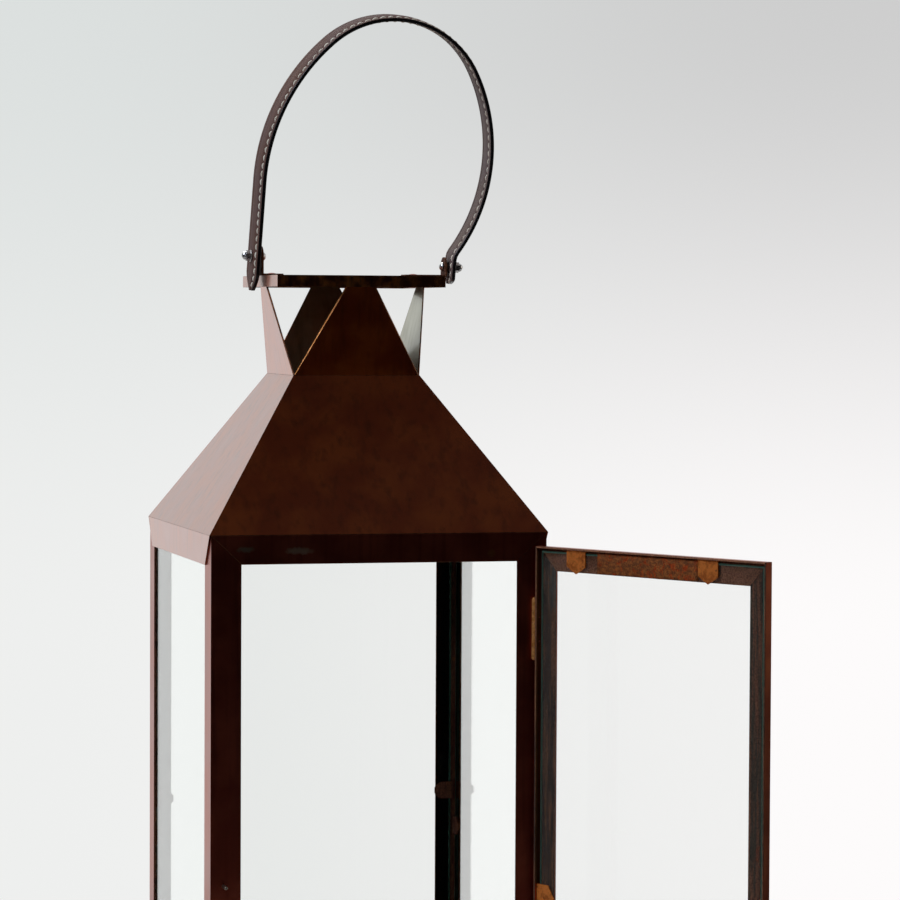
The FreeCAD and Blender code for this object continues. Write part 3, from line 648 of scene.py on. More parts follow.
class Paint(Enum):
    """The finishes that the lantern's pieces choose from."""

    # Two pale tan ovals on the front top rail and an orange-brown one towards its right end.
    FRAME = LacqueredSteel("frame_lacquer", body="#944434", cloud="#A2503C", run="#702E22", coat=0.0, marks=(
        Mark((-48 * MM, -100 * MM, 403.6 * MM), (10 * MM, 4 * MM, 2.4 * MM), "#C0A088"),
        Mark((-79 * MM, -100 * MM, 404.6 * MM), (6 * MM, 4 * MM, 2.0 * MM), "#A08874"),
        Mark((66 * MM, -100 * MM, 401.0 * MM), (3 * MM, 4 * MM, 3.0 * MM), "#A05C38")))
    ROOF = LacqueredSteel("roof_lacquer", body="#983E14", cloud="#AA501C", run="#70300E")
    CAP = LacqueredSteel("cap_lacquer", body="#7A3E26", cloud="#D08040", run="#3A1C10", cloud_size=7 * MM,
                         run_width=3 * MM)
    ROOF_INSIDE = LacqueredSteel("roof_inside", body="#A09A84", cloud="#8C8468", run="#6E6648", coat=0.6)
    # Painted highlight: a lit copy of the edge copper, given only to the neck-tab edge that faces the left
    # light.
    PAINTED_HIGHLIGHT_EDGE = WornCopper("painted_highlight_edge", bright="#F0A868", dull="#D08848", dark="#9A5A2C", rough=0.45)
    EDGE = WornCopper("rubbed_edge", bright="#7A4A2C", dull="#402414", dark="#180C08")
    DOOR_OUTSIDE = LacqueredSteel("door_lacquer", body="#A0523A", cloud="#B0603E", run="#7A3C28", coat=0.0)
    # A grey oval near the top of the hinge stile.
    DOOR_INSIDE = RustedSteel("door_mill_scale", scale="#4E372C", brown="#86583C", rust="#B05A20",
                              bloom_start=0.64, marks=(
        Mark((108 * MM, -118 * MM, 385 * MM), (16 * MM, 16 * MM, 26 * MM), "#5A5E56"),))
    DOOR_RAIL_INSIDE = RustedSteel("door_rail_rust", scale="#A46E50", brown="#AC7256", rust="#B8542A",
                                   bloom_start=0.66, along=(0.25, 0.25, 1.0))
    DOOR_FREE_INSIDE = RustedSteel("door_stile_rust", scale="#55493B", brown="#946046", rust="#A85030",
                                   bloom_start=0.60)
    PUTTY = RustedSteel("rust_crust", scale="#7C441A", brown="#A05A24", rust="#B04414", bloom_start=0.50,
                        bloom_size=5 * MM, streak_width=1.8 * MM, along=(0.5, 0.5, 1.0), metal=0.05,
                        rough=0.7)
    INSIDE = RustedSteel("frame_inside", scale="#5A3426", brown="#6E4630", rust="#8A4A24", bloom_start=0.64,
                         metal=0.0, rough=0.75, shine=0.15)
    COPPER = WornCopper("door_clip_copper", bright="#EC8A3C", dull="#BC6424", dark="#6A3012", rough=0.45,
                        metal=0.6)
    HINGE = WornCopper("hinge_brass", bright="#E8A460", dull="#B4702F", dark="#5A2C14", patch=6 * MM,
                       metal=0.5)
    NICKEL = NickelPlate("bolt_nickel")
    DARK_STEEL = NickelPlate("dark_steel", colour="#5A544E", rough=0.32)
    GLASS = FloatGlass("pane_glass")
    GLASS_EDGE = GroundGlass("pane_edge")
    STRAP = Leather("strap_leather")
    LINING = Leather("strap_lining", face="#665650", pull="#806E66", sheen="#6A6066", rough=0.68)
    STRAP_EDGE = BurnishedEdge("strap_edge")
    THREAD = WaxedThread("strap_thread")
    RUBBER = MattRubber("pad_rubber")

    def make(self) -> bpy.types.Material:
        """The finish's material."""
        return self.value.material()


# ---------------------------------------------------------------- pieces taken from the frame
Chooser = Callable[[Vector, Vector], int]


def always_first(centre: Vector, normal: Vector) -> int:
    """The first finish for every face."""
    return 0


@dataclass
class FramePiece:
    """A piece of the frame with its sharp edges broken, painted face by face.

    The last of its paints is the one that its broken edges show.
    """

    node: str
    body: str
    slot: str
    paints: Sequence[Paint]
    choose: Chooser = always_first
    edge: float = 0.22 * MM
    steps: int = 2
    smooth: bool = False
    weld: float = 0.002 * MM
    flat_angle: float = math.radians(0.4)
    sharp_angle: float = math.radians(30)

    def build(self) -> bpy.types.Object:
        """Copies the node's shape, breaks its edges and paints its faces.

        Returns:
            The piece, riding on its body in place of the node.
        """
        shape = bmesh.new()
        shape.from_mesh(frame["nodes"][self.node].data)
        bmesh.ops.remove_doubles(shape, verts=shape.verts, dist=self.weld)
        bmesh.ops.dissolve_limit(shape, angle_limit=self.flat_angle, verts=shape.verts, edges=shape.edges)
        mesh = bpy.data.meshes.new(self.node + "_shape")
        shape.to_mesh(mesh)
        shape.free()
        for layer in ("custom_normal", "sharp_edge", "sharp_face"):
            if layer in mesh.attributes:
                mesh.attributes.remove(mesh.attributes[layer])
        while mesh.materials:
            mesh.materials.pop()
        for paint in self.paints:
            mesh.materials.append(paint.make())
        piece = new_piece(self.node + "_finished", mesh)
        for face in mesh.polygons:
            face.material_index = self.choose(face.center, face.normal)
        bevel = piece.modifiers.new("broken_edges", "BEVEL")
        bevel.width = self.edge
        bevel.segments = self.steps
        bevel.limit_method = "ANGLE"
        bevel.angle_limit = self.sharp_angle
        bevel.material = len(self.paints) - 1
        if self.smooth:
            mesh.shade_smooth()
            bevel.harden_normals = True
        else:
            mesh.shade_flat()
        plain_mesh(piece)
        if not self.smooth:
            piece.data.shade_flat()
        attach(piece, self.body)
        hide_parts(self.node)
        log.info("%s: %d faces", piece.name, len(piece.data.polygons))
        return piece


def facing(direction: Vector, near: float = 0.7) -> Chooser:
    """A chooser that gives the second finish to faces looking one way.

    Args:
        direction: the way they look.
        near: the least cosine that counts.

    Returns:
        The chooser.
    """
    def choose(centre: Vector, normal: Vector) -> int:
        """1 for faces that look that way, else 0."""
        return 1 if normal.dot(direction) > near else 0

    return choose


def looking_in(centre: Vector, normal: Vector) -> int:
    """1 for faces that look to the lantern's upright axis, else 0."""
    inward = Vector((-centre.x, -centre.y, 0.0))
    return 1 if normal.xy.dot(inward.xy) > 0.3 * inward.length else 0


def roof_side(centre: Vector, normal: Vector) -> int:
    """Tells a roof panel's faces apart.

    Args:
        centre: the face's middle.
        normal: the way it looks.

    Returns:
        0 outside and 1 inside; on the neck's slanted edges, 2 for the front tab's left edge, which carries a
        painted highlight, and 3 for others.
    """
    if min(abs(normal.x), abs(normal.y)) > 0.2 and centre.z > NECK:
        # The front tab's left-facing edge gets the painted highlight finish; the matching right edge keeps
        # the plain edge finish.
        return 2 if normal.x < 0 and centre.y < -NECK_HALF else 3
    return looking_in(centre, normal)


@dataclass
class Carcass:
    """The welded frame, the folded base and its pads."""

    body: str = "root"
    posts: tuple[str, ...] = ("front_left_post", "front_right_post", "rear_left_post", "rear_right_post")
    rails: tuple[str, ...] = ("front_top_rail", "front_bottom_rail", "left_top_rail", "left_bottom_rail",
                              "right_top_rail", "right_bottom_rail", "rear_top_rail", "rear_bottom_rail")

    def build(self) -> None:
        """Posts, rails, base pan and pads."""
        paints = (Paint.FRAME, Paint.INSIDE, Paint.EDGE)
        for node in self.posts + self.rails:
            FramePiece(node, self.body, "frame_steel", paints, looking_in).build()
        FramePiece("base_pan", self.body, "base_steel", (Paint.FRAME, Paint.EDGE)).build()
        FramePiece("base_pads", self.body, "foot_felt", (Paint.RUBBER,), edge=0.5 * MM,
                   smooth=True).build()


@dataclass
class Roof:
    """Four folded panels, the cap that joins them, and the handle's lugs."""

    body: str = "root"
    panels: tuple[str, ...] = ("roof_front_panel", "roof_left_panel", "roof_right_panel", "roof_rear_panel")

    def build(self) -> None:
        """Panels, cap, lugs and the rivets that hold them."""
        # The third finish is a painted highlight for one neck-tab edge.
        paints = (Paint.ROOF, Paint.ROOF_INSIDE, Paint.PAINTED_HIGHLIGHT_EDGE, Paint.EDGE)
        for node in self.panels:
            FramePiece(node, self.body, "roof_steel", paints, roof_side).build()
        FramePiece("cap", self.body, "roof_steel", (Paint.ROOF, Paint.CAP, Paint.EDGE),
                   facing(Vector((0, -1, 0)))).build()
        for node in ("left_handle_lug", "right_handle_lug"):
            FramePiece(node, self.body, "roof_steel", (Paint.INSIDE,), smooth=True).build()
        FramePiece("lug_rivets", self.body, "rivet_steel", (Paint.FRAME, Paint.EDGE), edge=0.1 * MM,
                   smooth=True).build()


@dataclass
class Pane:
    """A sheet of glass with seamed edges."""

    node: str
    body: str
    slot: str
    seam_width: float = 1.1 * MM
    seam_depth: float = 0.75 * MM

    def build(self, across: Vector) -> None:
        """Builds the pane from its frame node.

        Args:
            across: unit vector through the pane's thickness.
        """
        points = [v.co.copy() for v in frame["nodes"][self.node].data.vertices]
        up = Vector((0, 0, 1))
        along = across.cross(up).normalized()
        ends = []
        for axis in (along, across, up):
            reach = [p.dot(axis) for p in points]
            ends.append((min(reach), max(reach)))
        (a0, a1), (t0, t1), (z0, z1) = ends
        shape = bmesh.new()
        loops = []
        for depth, inset in ((t0, self.seam_width), (t0 + self.seam_depth, 0.0),
                             (t1 - self.seam_depth, 0.0), (t1, self.seam_width)):
            corners = ((a0 + inset, z0 + inset), (a1 - inset, z0 + inset), (a1 - inset, z1 - inset),
                       (a0 + inset, z1 - inset))
            loops.append([shape.verts.new(along * a + across * depth + up * z) for a, z in corners])
        shape.faces.new(loops[0])
        shape.faces.new(loops[-1][::-1])
        for low, high in zip(loops, loops[1:]):
            for i in range(4):
                j = (i + 1) % 4
                shape.faces.new((low[i], high[i], high[j], low[j])).material_index = 1
        mesh = closed_mesh(shape, self.node + "_pane", (Paint.GLASS, Paint.GLASS_EDGE))
        piece = new_piece(self.node + "_pane", mesh)
        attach(piece, self.body)
        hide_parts(self.node)
        log.info("%s: glass", piece.name)


@dataclass
class Glazing:
    """The three fixed panes and their clips."""

    body: str = "root"

    def build(self) -> None:
        """Panes and clips."""
        for node, across in (("left_glass", Vector((1, 0, 0))), ("right_glass", Vector((1, 0, 0))),
                             ("rear_glass", Vector((0, 1, 0)))):
            Pane(node, self.body, "glass").build(across)
        for node in ("left_glass_clips", "right_glass_clips", "rear_glass_clips"):
            FramePiece(node, self.body, "clip_steel", (Paint.INSIDE, Paint.EDGE), edge=0.15 * MM).build()


@dataclass
class Door:
    """The door's frame, pane, clips, hinges and latch."""

    body: str = "door"
    open_angle: float = field(default_factory=lambda: math.radians(-joint("door_hinge")["range_deg"][0]))
    stiles: tuple[tuple[str, Paint], ...] = (
        ("door_hinge_stile", Paint.DOOR_INSIDE), ("door_free_stile", Paint.DOOR_FREE_INSIDE),
        ("door_top_rail", Paint.DOOR_RAIL_INSIDE), ("door_bottom_rail", Paint.DOOR_RAIL_INSIDE))
    crust_span: tuple[float, float] = (-36.4 * MM, 41.0 * MM)
    crust_heights: tuple[float, float] = (391.4 * MM, 403.7 * MM)
    crust_face: float = -102.4 * MM
    crust_depths: tuple[float, float] = (0.4, 0.6)
    crust_shrink: float = 0.25
    crust_bulge: float = 0.1
    crust_rows: int = 40
    crust_seed: int = 5

    def outward(self) -> Vector:
        """The way the door's outer face looks as it stands open."""
        return Matrix.Rotation(self.open_angle, 3, "Z") @ Vector((0, -1, 0))

    def swing(self) -> Matrix:
        """The door's turn about its hinge line.

        Returns:
            From its place when shut to its place when open.
        """
        pivot = Vector(joint("door_hinge")["pos_m"]).to_2d().to_3d()
        turn = Matrix.Rotation(self.open_angle, 4, "Z")
        return Matrix.Translation(pivot) @ turn @ Matrix.Translation(-pivot)

    def crust(self) -> None:
        """A rust-stained strip of old putty over the pane's top edge, between the two clips."""
        spread = random.Random(self.crust_seed)
        swing = self.swing()
        left, right = self.crust_span
        low, high = self.crust_heights
        back = self.crust_face + 0.05 * MM
        shape = bmesh.new()
        rows = []
        for i in range(self.crust_rows + 1):
            x = left + (right - left) * i / self.crust_rows
            base = low + spread.uniform(-self.crust_shrink, self.crust_shrink) * MM
            front = self.crust_face + spread.uniform(*self.crust_depths) * MM
            bulge = front + spread.uniform(-self.crust_bulge, self.crust_bulge) * MM
            outline = [(back, base), (front - 0.15 * MM, base + 0.1 * MM), (front, base + 1.2 * MM),
                       (bulge, (low + high) / 2), (front, high - 1.0 * MM), (back, high)]
            rows.append([shape.verts.new(swing @ Vector((x, y, z))) for y, z in outline])
        for near, far in zip(rows, rows[1:]):
            for a, b, c, d in zip(near, far, far[1:] + far[:1], near[1:] + near[:1]):
                shape.faces.new((a, b, c, d))
        shape.faces.new(rows[0])
        shape.faces.new(rows[-1][::-1])
        mesh = closed_mesh(shape, "door_putty", (Paint.PUTTY,))
        mesh.shade_smooth()
        piece = new_piece("door_putty", mesh)
        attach(piece, self.body)

    def build(self) -> None:
        """Every piece of the door and its hinges."""
        self.crust()
        outward = self.outward()
        for node, inside in self.stiles:
            FramePiece(node, self.body, "door_steel", (Paint.DOOR_OUTSIDE, inside, Paint.EDGE),
                       facing(-outward)).build()
        Pane("door_glass", self.body, "door_glass").build(outward)
        for node in ("door_top_clips", "door_bottom_clips", "door_side_clips"):
            FramePiece(node, self.body, "door_clip_steel", (Paint.COPPER,), edge=0.25 * MM,
                       steps=3).build()
        for place in ("upper", "lower"):
            for part, body in (("door_leaf", "door"), ("frame_leaf", "root")):
                FramePiece(place + "_hinge_" + part, body, "hinge_brass", (Paint.HINGE,),
                           edge=0.12 * MM, smooth=True).build()
            FramePiece(place + "_hinge_pin", "root", "hinge_pin_brass", (Paint.HINGE,),
                       edge=0.08 * MM, smooth=True).build()
        for node, body in (("hinge_door_rivets", "door"), ("hinge_frame_rivets", "root")):
            FramePiece(node, body, "rivet_steel", (Paint.FRAME, Paint.EDGE), edge=0.06 * MM,
                       smooth=True).build()
        for node, body in (("latch_pivot", "door"), ("latch_hook", "latch"), ("latch_keeper", "root")):
            FramePiece(node, body, "latch_steel", (Paint.DARK_STEEL,), edge=0.15 * MM,
                       smooth=True).build()


# ---------------------------------------------------------------- the strap handle
@dataclass
class StrapLine:
    """The strap's middle line in the handle's own plane: u runs along the pivot line, v away from it."""

    straight_leg: float = 45.0 * MM
    crown_radius: float = 56.8 * MM
    crown_u: float = 75.5 * MM
    crown_v: float = 89.8 * MM
    right_radius: float = 105.0 * MM
    right_join: float = math.radians(29.6)
    right_leg_end: float = 9.5 * MM
    end_bend: float = 8.0 * MM
    left_tail: float = 20.5 * MM
    right_tail: float = 10.0 * MM

    def spans(self) -> list[tuple[str, tuple[float, ...]]]:
        """The line's straight runs and arcs in order.

        Returns:
            Lines as (u, v, u, v) and arcs as (centre u, centre v, radius, first angle, last angle).
        """
        rise = self.crown_v - self.straight_leg
        gap = self.crown_u - self.crown_radius
        left_radius = (self.crown_u ** 2 + rise ** 2 - self.crown_radius ** 2) / (2 * gap)
        left_join = math.pi - math.asin(rise / (left_radius - self.crown_radius))
        reach = self.right_radius - self.crown_radius
        right_u = self.crown_u - reach * math.cos(self.right_join)
        right_v = self.crown_v - reach * math.sin(self.right_join)
        bend = math.asin((self.right_leg_end - right_v) / self.right_radius)
        bend_u = right_u + (self.right_radius + self.end_bend) * math.cos(bend)
        bend_v = right_v + (self.right_radius + self.end_bend) * math.sin(bend)
        eye = bend_u - self.end_bend
        return [
            ("line", (0.0, -self.left_tail, 0.0, self.straight_leg)),
            ("arc", (left_radius, self.straight_leg, left_radius, math.pi, left_join)),
            ("arc", (self.crown_u, self.crown_v, self.crown_radius, left_join, self.right_join)),
            ("arc", (right_u, right_v, self.right_radius, self.right_join, bend)),
            ("arc", (bend_u, bend_v, self.end_bend, math.pi + bend, math.pi)),
            ("line", (eye, bend_v, eye, -self.right_tail)),
        ]

    def length(self) -> float:
        """Length of the whole line."""
        return sum(self.span_length(kind, values) for kind, values in self.spans())

    @staticmethod
    def span_length(kind: str, values: tuple[float, ...]) -> float:
        """Length of one run or arc.

        Args:
            kind: "line" or "arc".
            values: as spans gives them.

        Returns:
            The length.
        """
        if kind == "line":
            return math.dist(values[:2], values[2:])
        return values[2] * abs(values[4] - values[3])

    def at(self, distance: float) -> tuple[Vector, Vector]:
        """Place and outward normal at a distance from the left tip.

        Args:
            distance: along the line.

        Returns:
            Two vectors in the handle's frame, with X along the pivot line and Z away from it.
        """
        left = distance
        spans = self.spans()
        for i, (kind, values) in enumerate(spans):
            length = self.span_length(kind, values)
            if left > length and i < len(spans) - 1:
                left -= length
                continue
            if kind == "line":
                start, end = Vector(values[:2]), Vector(values[2:])
                heading = (end - start).normalized()
                point = start + heading * left
            else:
                u, v, radius, first, last = values
                turn = math.copysign(1.0, last - first)
                angle = first + turn * left / radius
                point = Vector((u + radius * math.cos(angle), v + radius * math.sin(angle)))
                heading = turn * Vector((-math.sin(angle), math.cos(angle)))
            return Vector((point.x, 0.0, point.y)), Vector((-heading.y, 0.0, heading.x))
        raise ValueError("distance is past the strap's end")


class Layer(Enum):
    """The strap's two layers of leather."""

    COVER = "cover"
    LINING = "lining"


@dataclass
class Strap:
    """Two layers of leather with a padded middle, creased along both edges and sewn along the front one."""

    line: StrapLine = field(default_factory=StrapLine)
    body: str = "handle"
    half_width: float = 12.0 * MM
    half_thick: float = 1.75 * MM
    split: float = 0.40 * MM
    cone: float = math.radians(3.0)
    lean: float = math.radians(7.0)
    left_point: float = 11.0 * MM
    right_point: float = 4.0 * MM
    tip: float = 2.6 * MM
    seam_inset: float = 4.3 * MM
    seam_ends: tuple[float, float] = (3.6 * MM, 2.6 * MM)
    seam_sinks: tuple[float, float] = (0.1 * MM, 0.06 * MM)
    seam_points: int = 240
    full_half: float = 9 * MM
    groove: float = 0.5 * MM
    cover_crease: float = 0.26 * MM
    lining_crease: float = 0.2 * MM
    rounding: float = 0.6 * MM
    tuck: float = 0.15 * MM
    edge_band: float = 0.45 * MM
    edge_drop: float = 0.60 * MM
    core_half: float = 8.2 * MM
    core_wall: float = 1.2 * MM
    core_drop: float = 0.85 * MM
    core_ends: tuple[float, float] = (7 * MM, 3 * MM)
    row_step: float = 2.2 * MM
    tip_step: float = 0.55 * MM
    stitch_pitch: float = 4.8 * MM
    stitch_length: float = 3.0 * MM
    stitch_slant: float = math.radians(7)
    thread: float = 0.66 * MM
    seed: int = 11

    def place(self) -> Matrix:
        """The strap's place on its pivot line, leaning as it does at rest.

        Returns:
            From the handle's own frame to the lantern's.
        """
        pivot = joint("handle_pivot")
        tilt = math.atan2(-pivot["axis"][2], pivot["axis"][0])
        return (Matrix.Translation(pivot["pos_m"]) @ Matrix.Rotation(tilt, 4, "Y")
                @ Matrix.Rotation(self.lean, 4, "X"))

    def half_at(self, distance: float) -> float:
        """Half the strap's width, which narrows to a rounded point at both tips.

        Args:
            distance: from the left tip.

        Returns:
            Half the width there.
        """
        share = min(distance / self.left_point, (self.line.length() - distance) / self.right_point, 1.0)
        share = max(share, 0.0)
        return self.tip + (self.half_width - self.tip) * (1 - (1 - share) ** 1.7)

    def squeeze_at(self, half: float) -> float:
        """How far the creases draw together for half the strap's width: 1 where it is broad."""
        return min(1.0, half / self.full_half)

    def seam_at(self, half: float) -> float:
        """The seam's distance from the middle for half the strap's width."""
        return half - self.seam_inset * self.squeeze_at(half)

    def rows(self) -> list[float]:
        """Where the strap's cross-sections lie, closer together at the tips.

        Returns:
            Distances from the left tip.
        """
        total = self.line.length()
        fine = self.left_point
        rows = [i * self.tip_step for i in range(int(fine / self.tip_step))]
        count = round((total - 2 * fine) / self.row_step)
        rows += [fine + (total - 2 * fine) * i / count for i in range(count)]
        rows += [total - fine + i * self.tip_step for i in range(int(fine / self.tip_step))]
        return rows + [total]

    def profile(self, layer: Layer, half: float, near_core: float) -> list[tuple[float, float]]:
        """A layer's outline across the strap.

        Args:
            layer: which of the two.
            half: half the width here.
            near_core: 1 where the steel core lies in the lining, 0 past its ends.

        Returns:
            Points (across, outward), once round.
        """
        squeeze = self.squeeze_at(half)
        seam = self.seam_at(half)
        groove = self.groove * squeeze
        rim = half - self.rounding * squeeze
        # Each side runs up the cut edge, over its rounding, through the crease and on to the padding.
        if layer is Layer.COVER:
            top = self.half_thick
            welt = top - self.edge_drop
            side = [(half, self.split + 0.06 * MM), (half, welt - 0.38 * MM),
                    (half - 0.22 * MM, welt - 0.1 * MM), (rim, welt),
                    (seam + 2 * groove, welt), (seam + groove, welt - 0.06 * MM),
                    (seam + 0.4 * groove, welt - self.cover_crease),
                    (seam - 0.4 * groove, welt - self.cover_crease),
                    (seam - groove, welt - 0.04 * MM), (seam - 2.0 * groove, welt + 0.14 * MM),
                    (seam * 0.62, top - 0.14 * MM), (seam * 0.3, top)]
            base = [(half - self.tuck, self.split + 0.01 * MM)]
        else:
            low = -self.half_thick
            welt = low + self.edge_drop
            side = [(half, self.split - 0.07 * MM), (half, welt + 0.4 * MM),
                    (half - 0.2 * MM, welt + 0.12 * MM), (rim, welt),
                    (seam + groove, welt - 0.02 * MM),
                    (seam + 0.4 * groove, welt + self.lining_crease),
                    (seam - 0.4 * groove, welt + self.lining_crease), (seam - groove, welt - 0.04 * MM),
                    (seam * 0.6, low + 0.1 * MM), (seam * 0.25, low)]
            core = min(self.core_half, half - self.core_wall)
            flat = self.split - 0.01 * MM
            base = [(half - self.tuck, flat), (core, flat), (core, flat - self.core_drop * near_core)]
        return side + [(-x, z) for x, z in side[::-1] + base] + base[::-1]

    def point(self, distance: float, across: float, outward: float) -> Vector:
        """A point of the strap, which is coned: its middle line is tilted across its width.

        Args:
            distance: from the left tip.
            across: from the middle line, towards the back.
            outward: from the strap's middle layer.

        Returns:
            The point in the handle's frame.
        """
        middle, normal = self.line.at(distance)
        spot = middle + normal * (outward + across * math.tan(self.cone))
        spot.y = across
        return spot

    def layer_mesh(self, layer: Layer, name: str, face_paint: Paint) -> bpy.types.Object:
        """Lofts one layer along the strap.

        Args:
            layer: which of the two.
            name: the piece's name.
            face_paint: finish of its broad faces.

        Returns:
            The piece.
        """
        place = self.place()
        rows = self.rows()
        core_start = self.line.left_tail - self.core_ends[0]
        core_stop = self.line.length() - self.core_ends[1]
        shape = bmesh.new()
        sheet = shape.loops.layers.uv.new("strap")
        loops = []
        flats = []
        for distance in rows:
            near_core = 1.0 if core_start < distance < core_stop else 0.0
            outline = self.profile(layer, self.half_at(distance), near_core)
            loops.append([shape.verts.new(place @ self.point(distance, x, z)) for x, z in outline])
            flats.append([(distance, x) for x, _ in outline])
        for row in range(len(loops) - 1):
            low, high = loops[row], loops[row + 1]
            rim = self.half_at(rows[row]) - self.edge_band
            for i in range(len(low)):
                j = (i + 1) % len(low)
                face = shape.faces.new((low[i], low[j], high[j], high[i]))
                corners = (flats[row][i], flats[row][j], flats[row + 1][j], flats[row + 1][i])
                for loop, corner in zip(face.loops, corners):
                    loop[sheet].uv = corner
                reach = min(abs(corners[0][1]), abs(corners[1][1]))
                face.material_index = 1 if reach > rim else 0
        for cap in (loops[0], loops[-1][::-1]):
            shape.faces.new(cap).material_index = 1
        mesh = closed_mesh(shape, name, (face_paint, Paint.STRAP_EDGE))
        mesh.shade_smooth()
        mesh.set_sharp_from_angle(angle=math.radians(40))
        return new_piece(name, mesh)

    def seam_lines(self) -> bpy.types.Object:
        """The lines that the thread follows, along the front edge of each broad face.

        Returns:
            The piece, with the outward direction stored on its points as "out".
        """
        place = self.place()
        turn = place.to_3x3()
        start, end = self.seam_ends[0], self.line.length() - self.seam_ends[1]
        vertices: list[Vector] = []
        outs: list[Vector] = []
        edges: list[tuple[int, int]] = []
        for face, sink in zip((1, -1), self.seam_sinks):
            lift = self.half_thick - self.edge_drop - sink
            for i in range(self.seam_points + 1):
                distance = start + (end - start) * i / self.seam_points
                seam = self.seam_at(self.half_at(distance))
                if i:
                    edges.append((len(vertices) - 1, len(vertices)))
                vertices.append(place @ self.point(distance, -seam, face * lift))
                outs.append(turn @ (self.line.at(distance)[1] * face))
        mesh = bpy.data.meshes.new("seam_lines")
        mesh.from_pydata(vertices, edges, [])
        stored = mesh.attributes.new("out", "FLOAT_VECTOR", "POINT")
        stored.data.foreach_set("vector", [c for out in outs for c in out])
        return new_piece("handle_stitches", mesh)

    def build(self) -> None:
        """Both layers and the stitches."""
        cover = self.layer_mesh(Layer.COVER, "handle_outer_strap", Paint.STRAP)
        lining = self.layer_mesh(Layer.LINING, "handle_lining_strap", Paint.LINING)
        for piece, node, slot in ((cover, "handle_outer_leather", "strap_leather"),
                                  (lining, "handle_lining", "strap_lining")):
            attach(piece, self.body)
            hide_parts(node)
            log.info("%s: %d faces", piece.name, len(piece.data.polygons))
        thread = self.seam_lines()
        grow_along(thread, stitch_tree(), {
            "Pitch": self.stitch_pitch, "Length": self.stitch_length, "Thread": self.thread,
            "Slant": self.stitch_slant, "Seed": self.seed, "Finish": Paint.THREAD.make()})
        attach(thread, self.body)
        log.info("%s: %d faces", thread.name, len(thread.data.polygons))


@dataclass
class Handle:
    """The strap with its steel core, bolts, washers, spacers and dome nuts."""

    strap: Strap = field(default_factory=Strap)
    body: str = "handle"

    def build(self) -> None:
        """The strap and everything that holds it."""
        self.strap.build()
        FramePiece("handle_core", self.body, "strap_core_steel", (Paint.DARK_STEEL,),
                   edge=0.1 * MM, smooth=True).build()
        for node in ("handle_bolts", "handle_washers", "handle_dome_nuts"):
            FramePiece(node, self.body, "bolt_steel", (Paint.NICKEL,), edge=0.15 * MM,
                       smooth=True).build()
        FramePiece("handle_spacers", self.body, "spacer_leather", (Paint.STRAP_EDGE,),
                   edge=0.15 * MM, smooth=True).build()


# ---------------------------------------------------------------- geometry nodes
# A stitch's bow in thread radii: its ends' depth and the height of its handle.
STITCH_DIP = -0.75
STITCH_RISE = 1.1
# How much one stitch may slant or grow beside its neighbours.
STITCH_SWAY = 0.05
STITCH_SIZES = (0.92, 1.06)


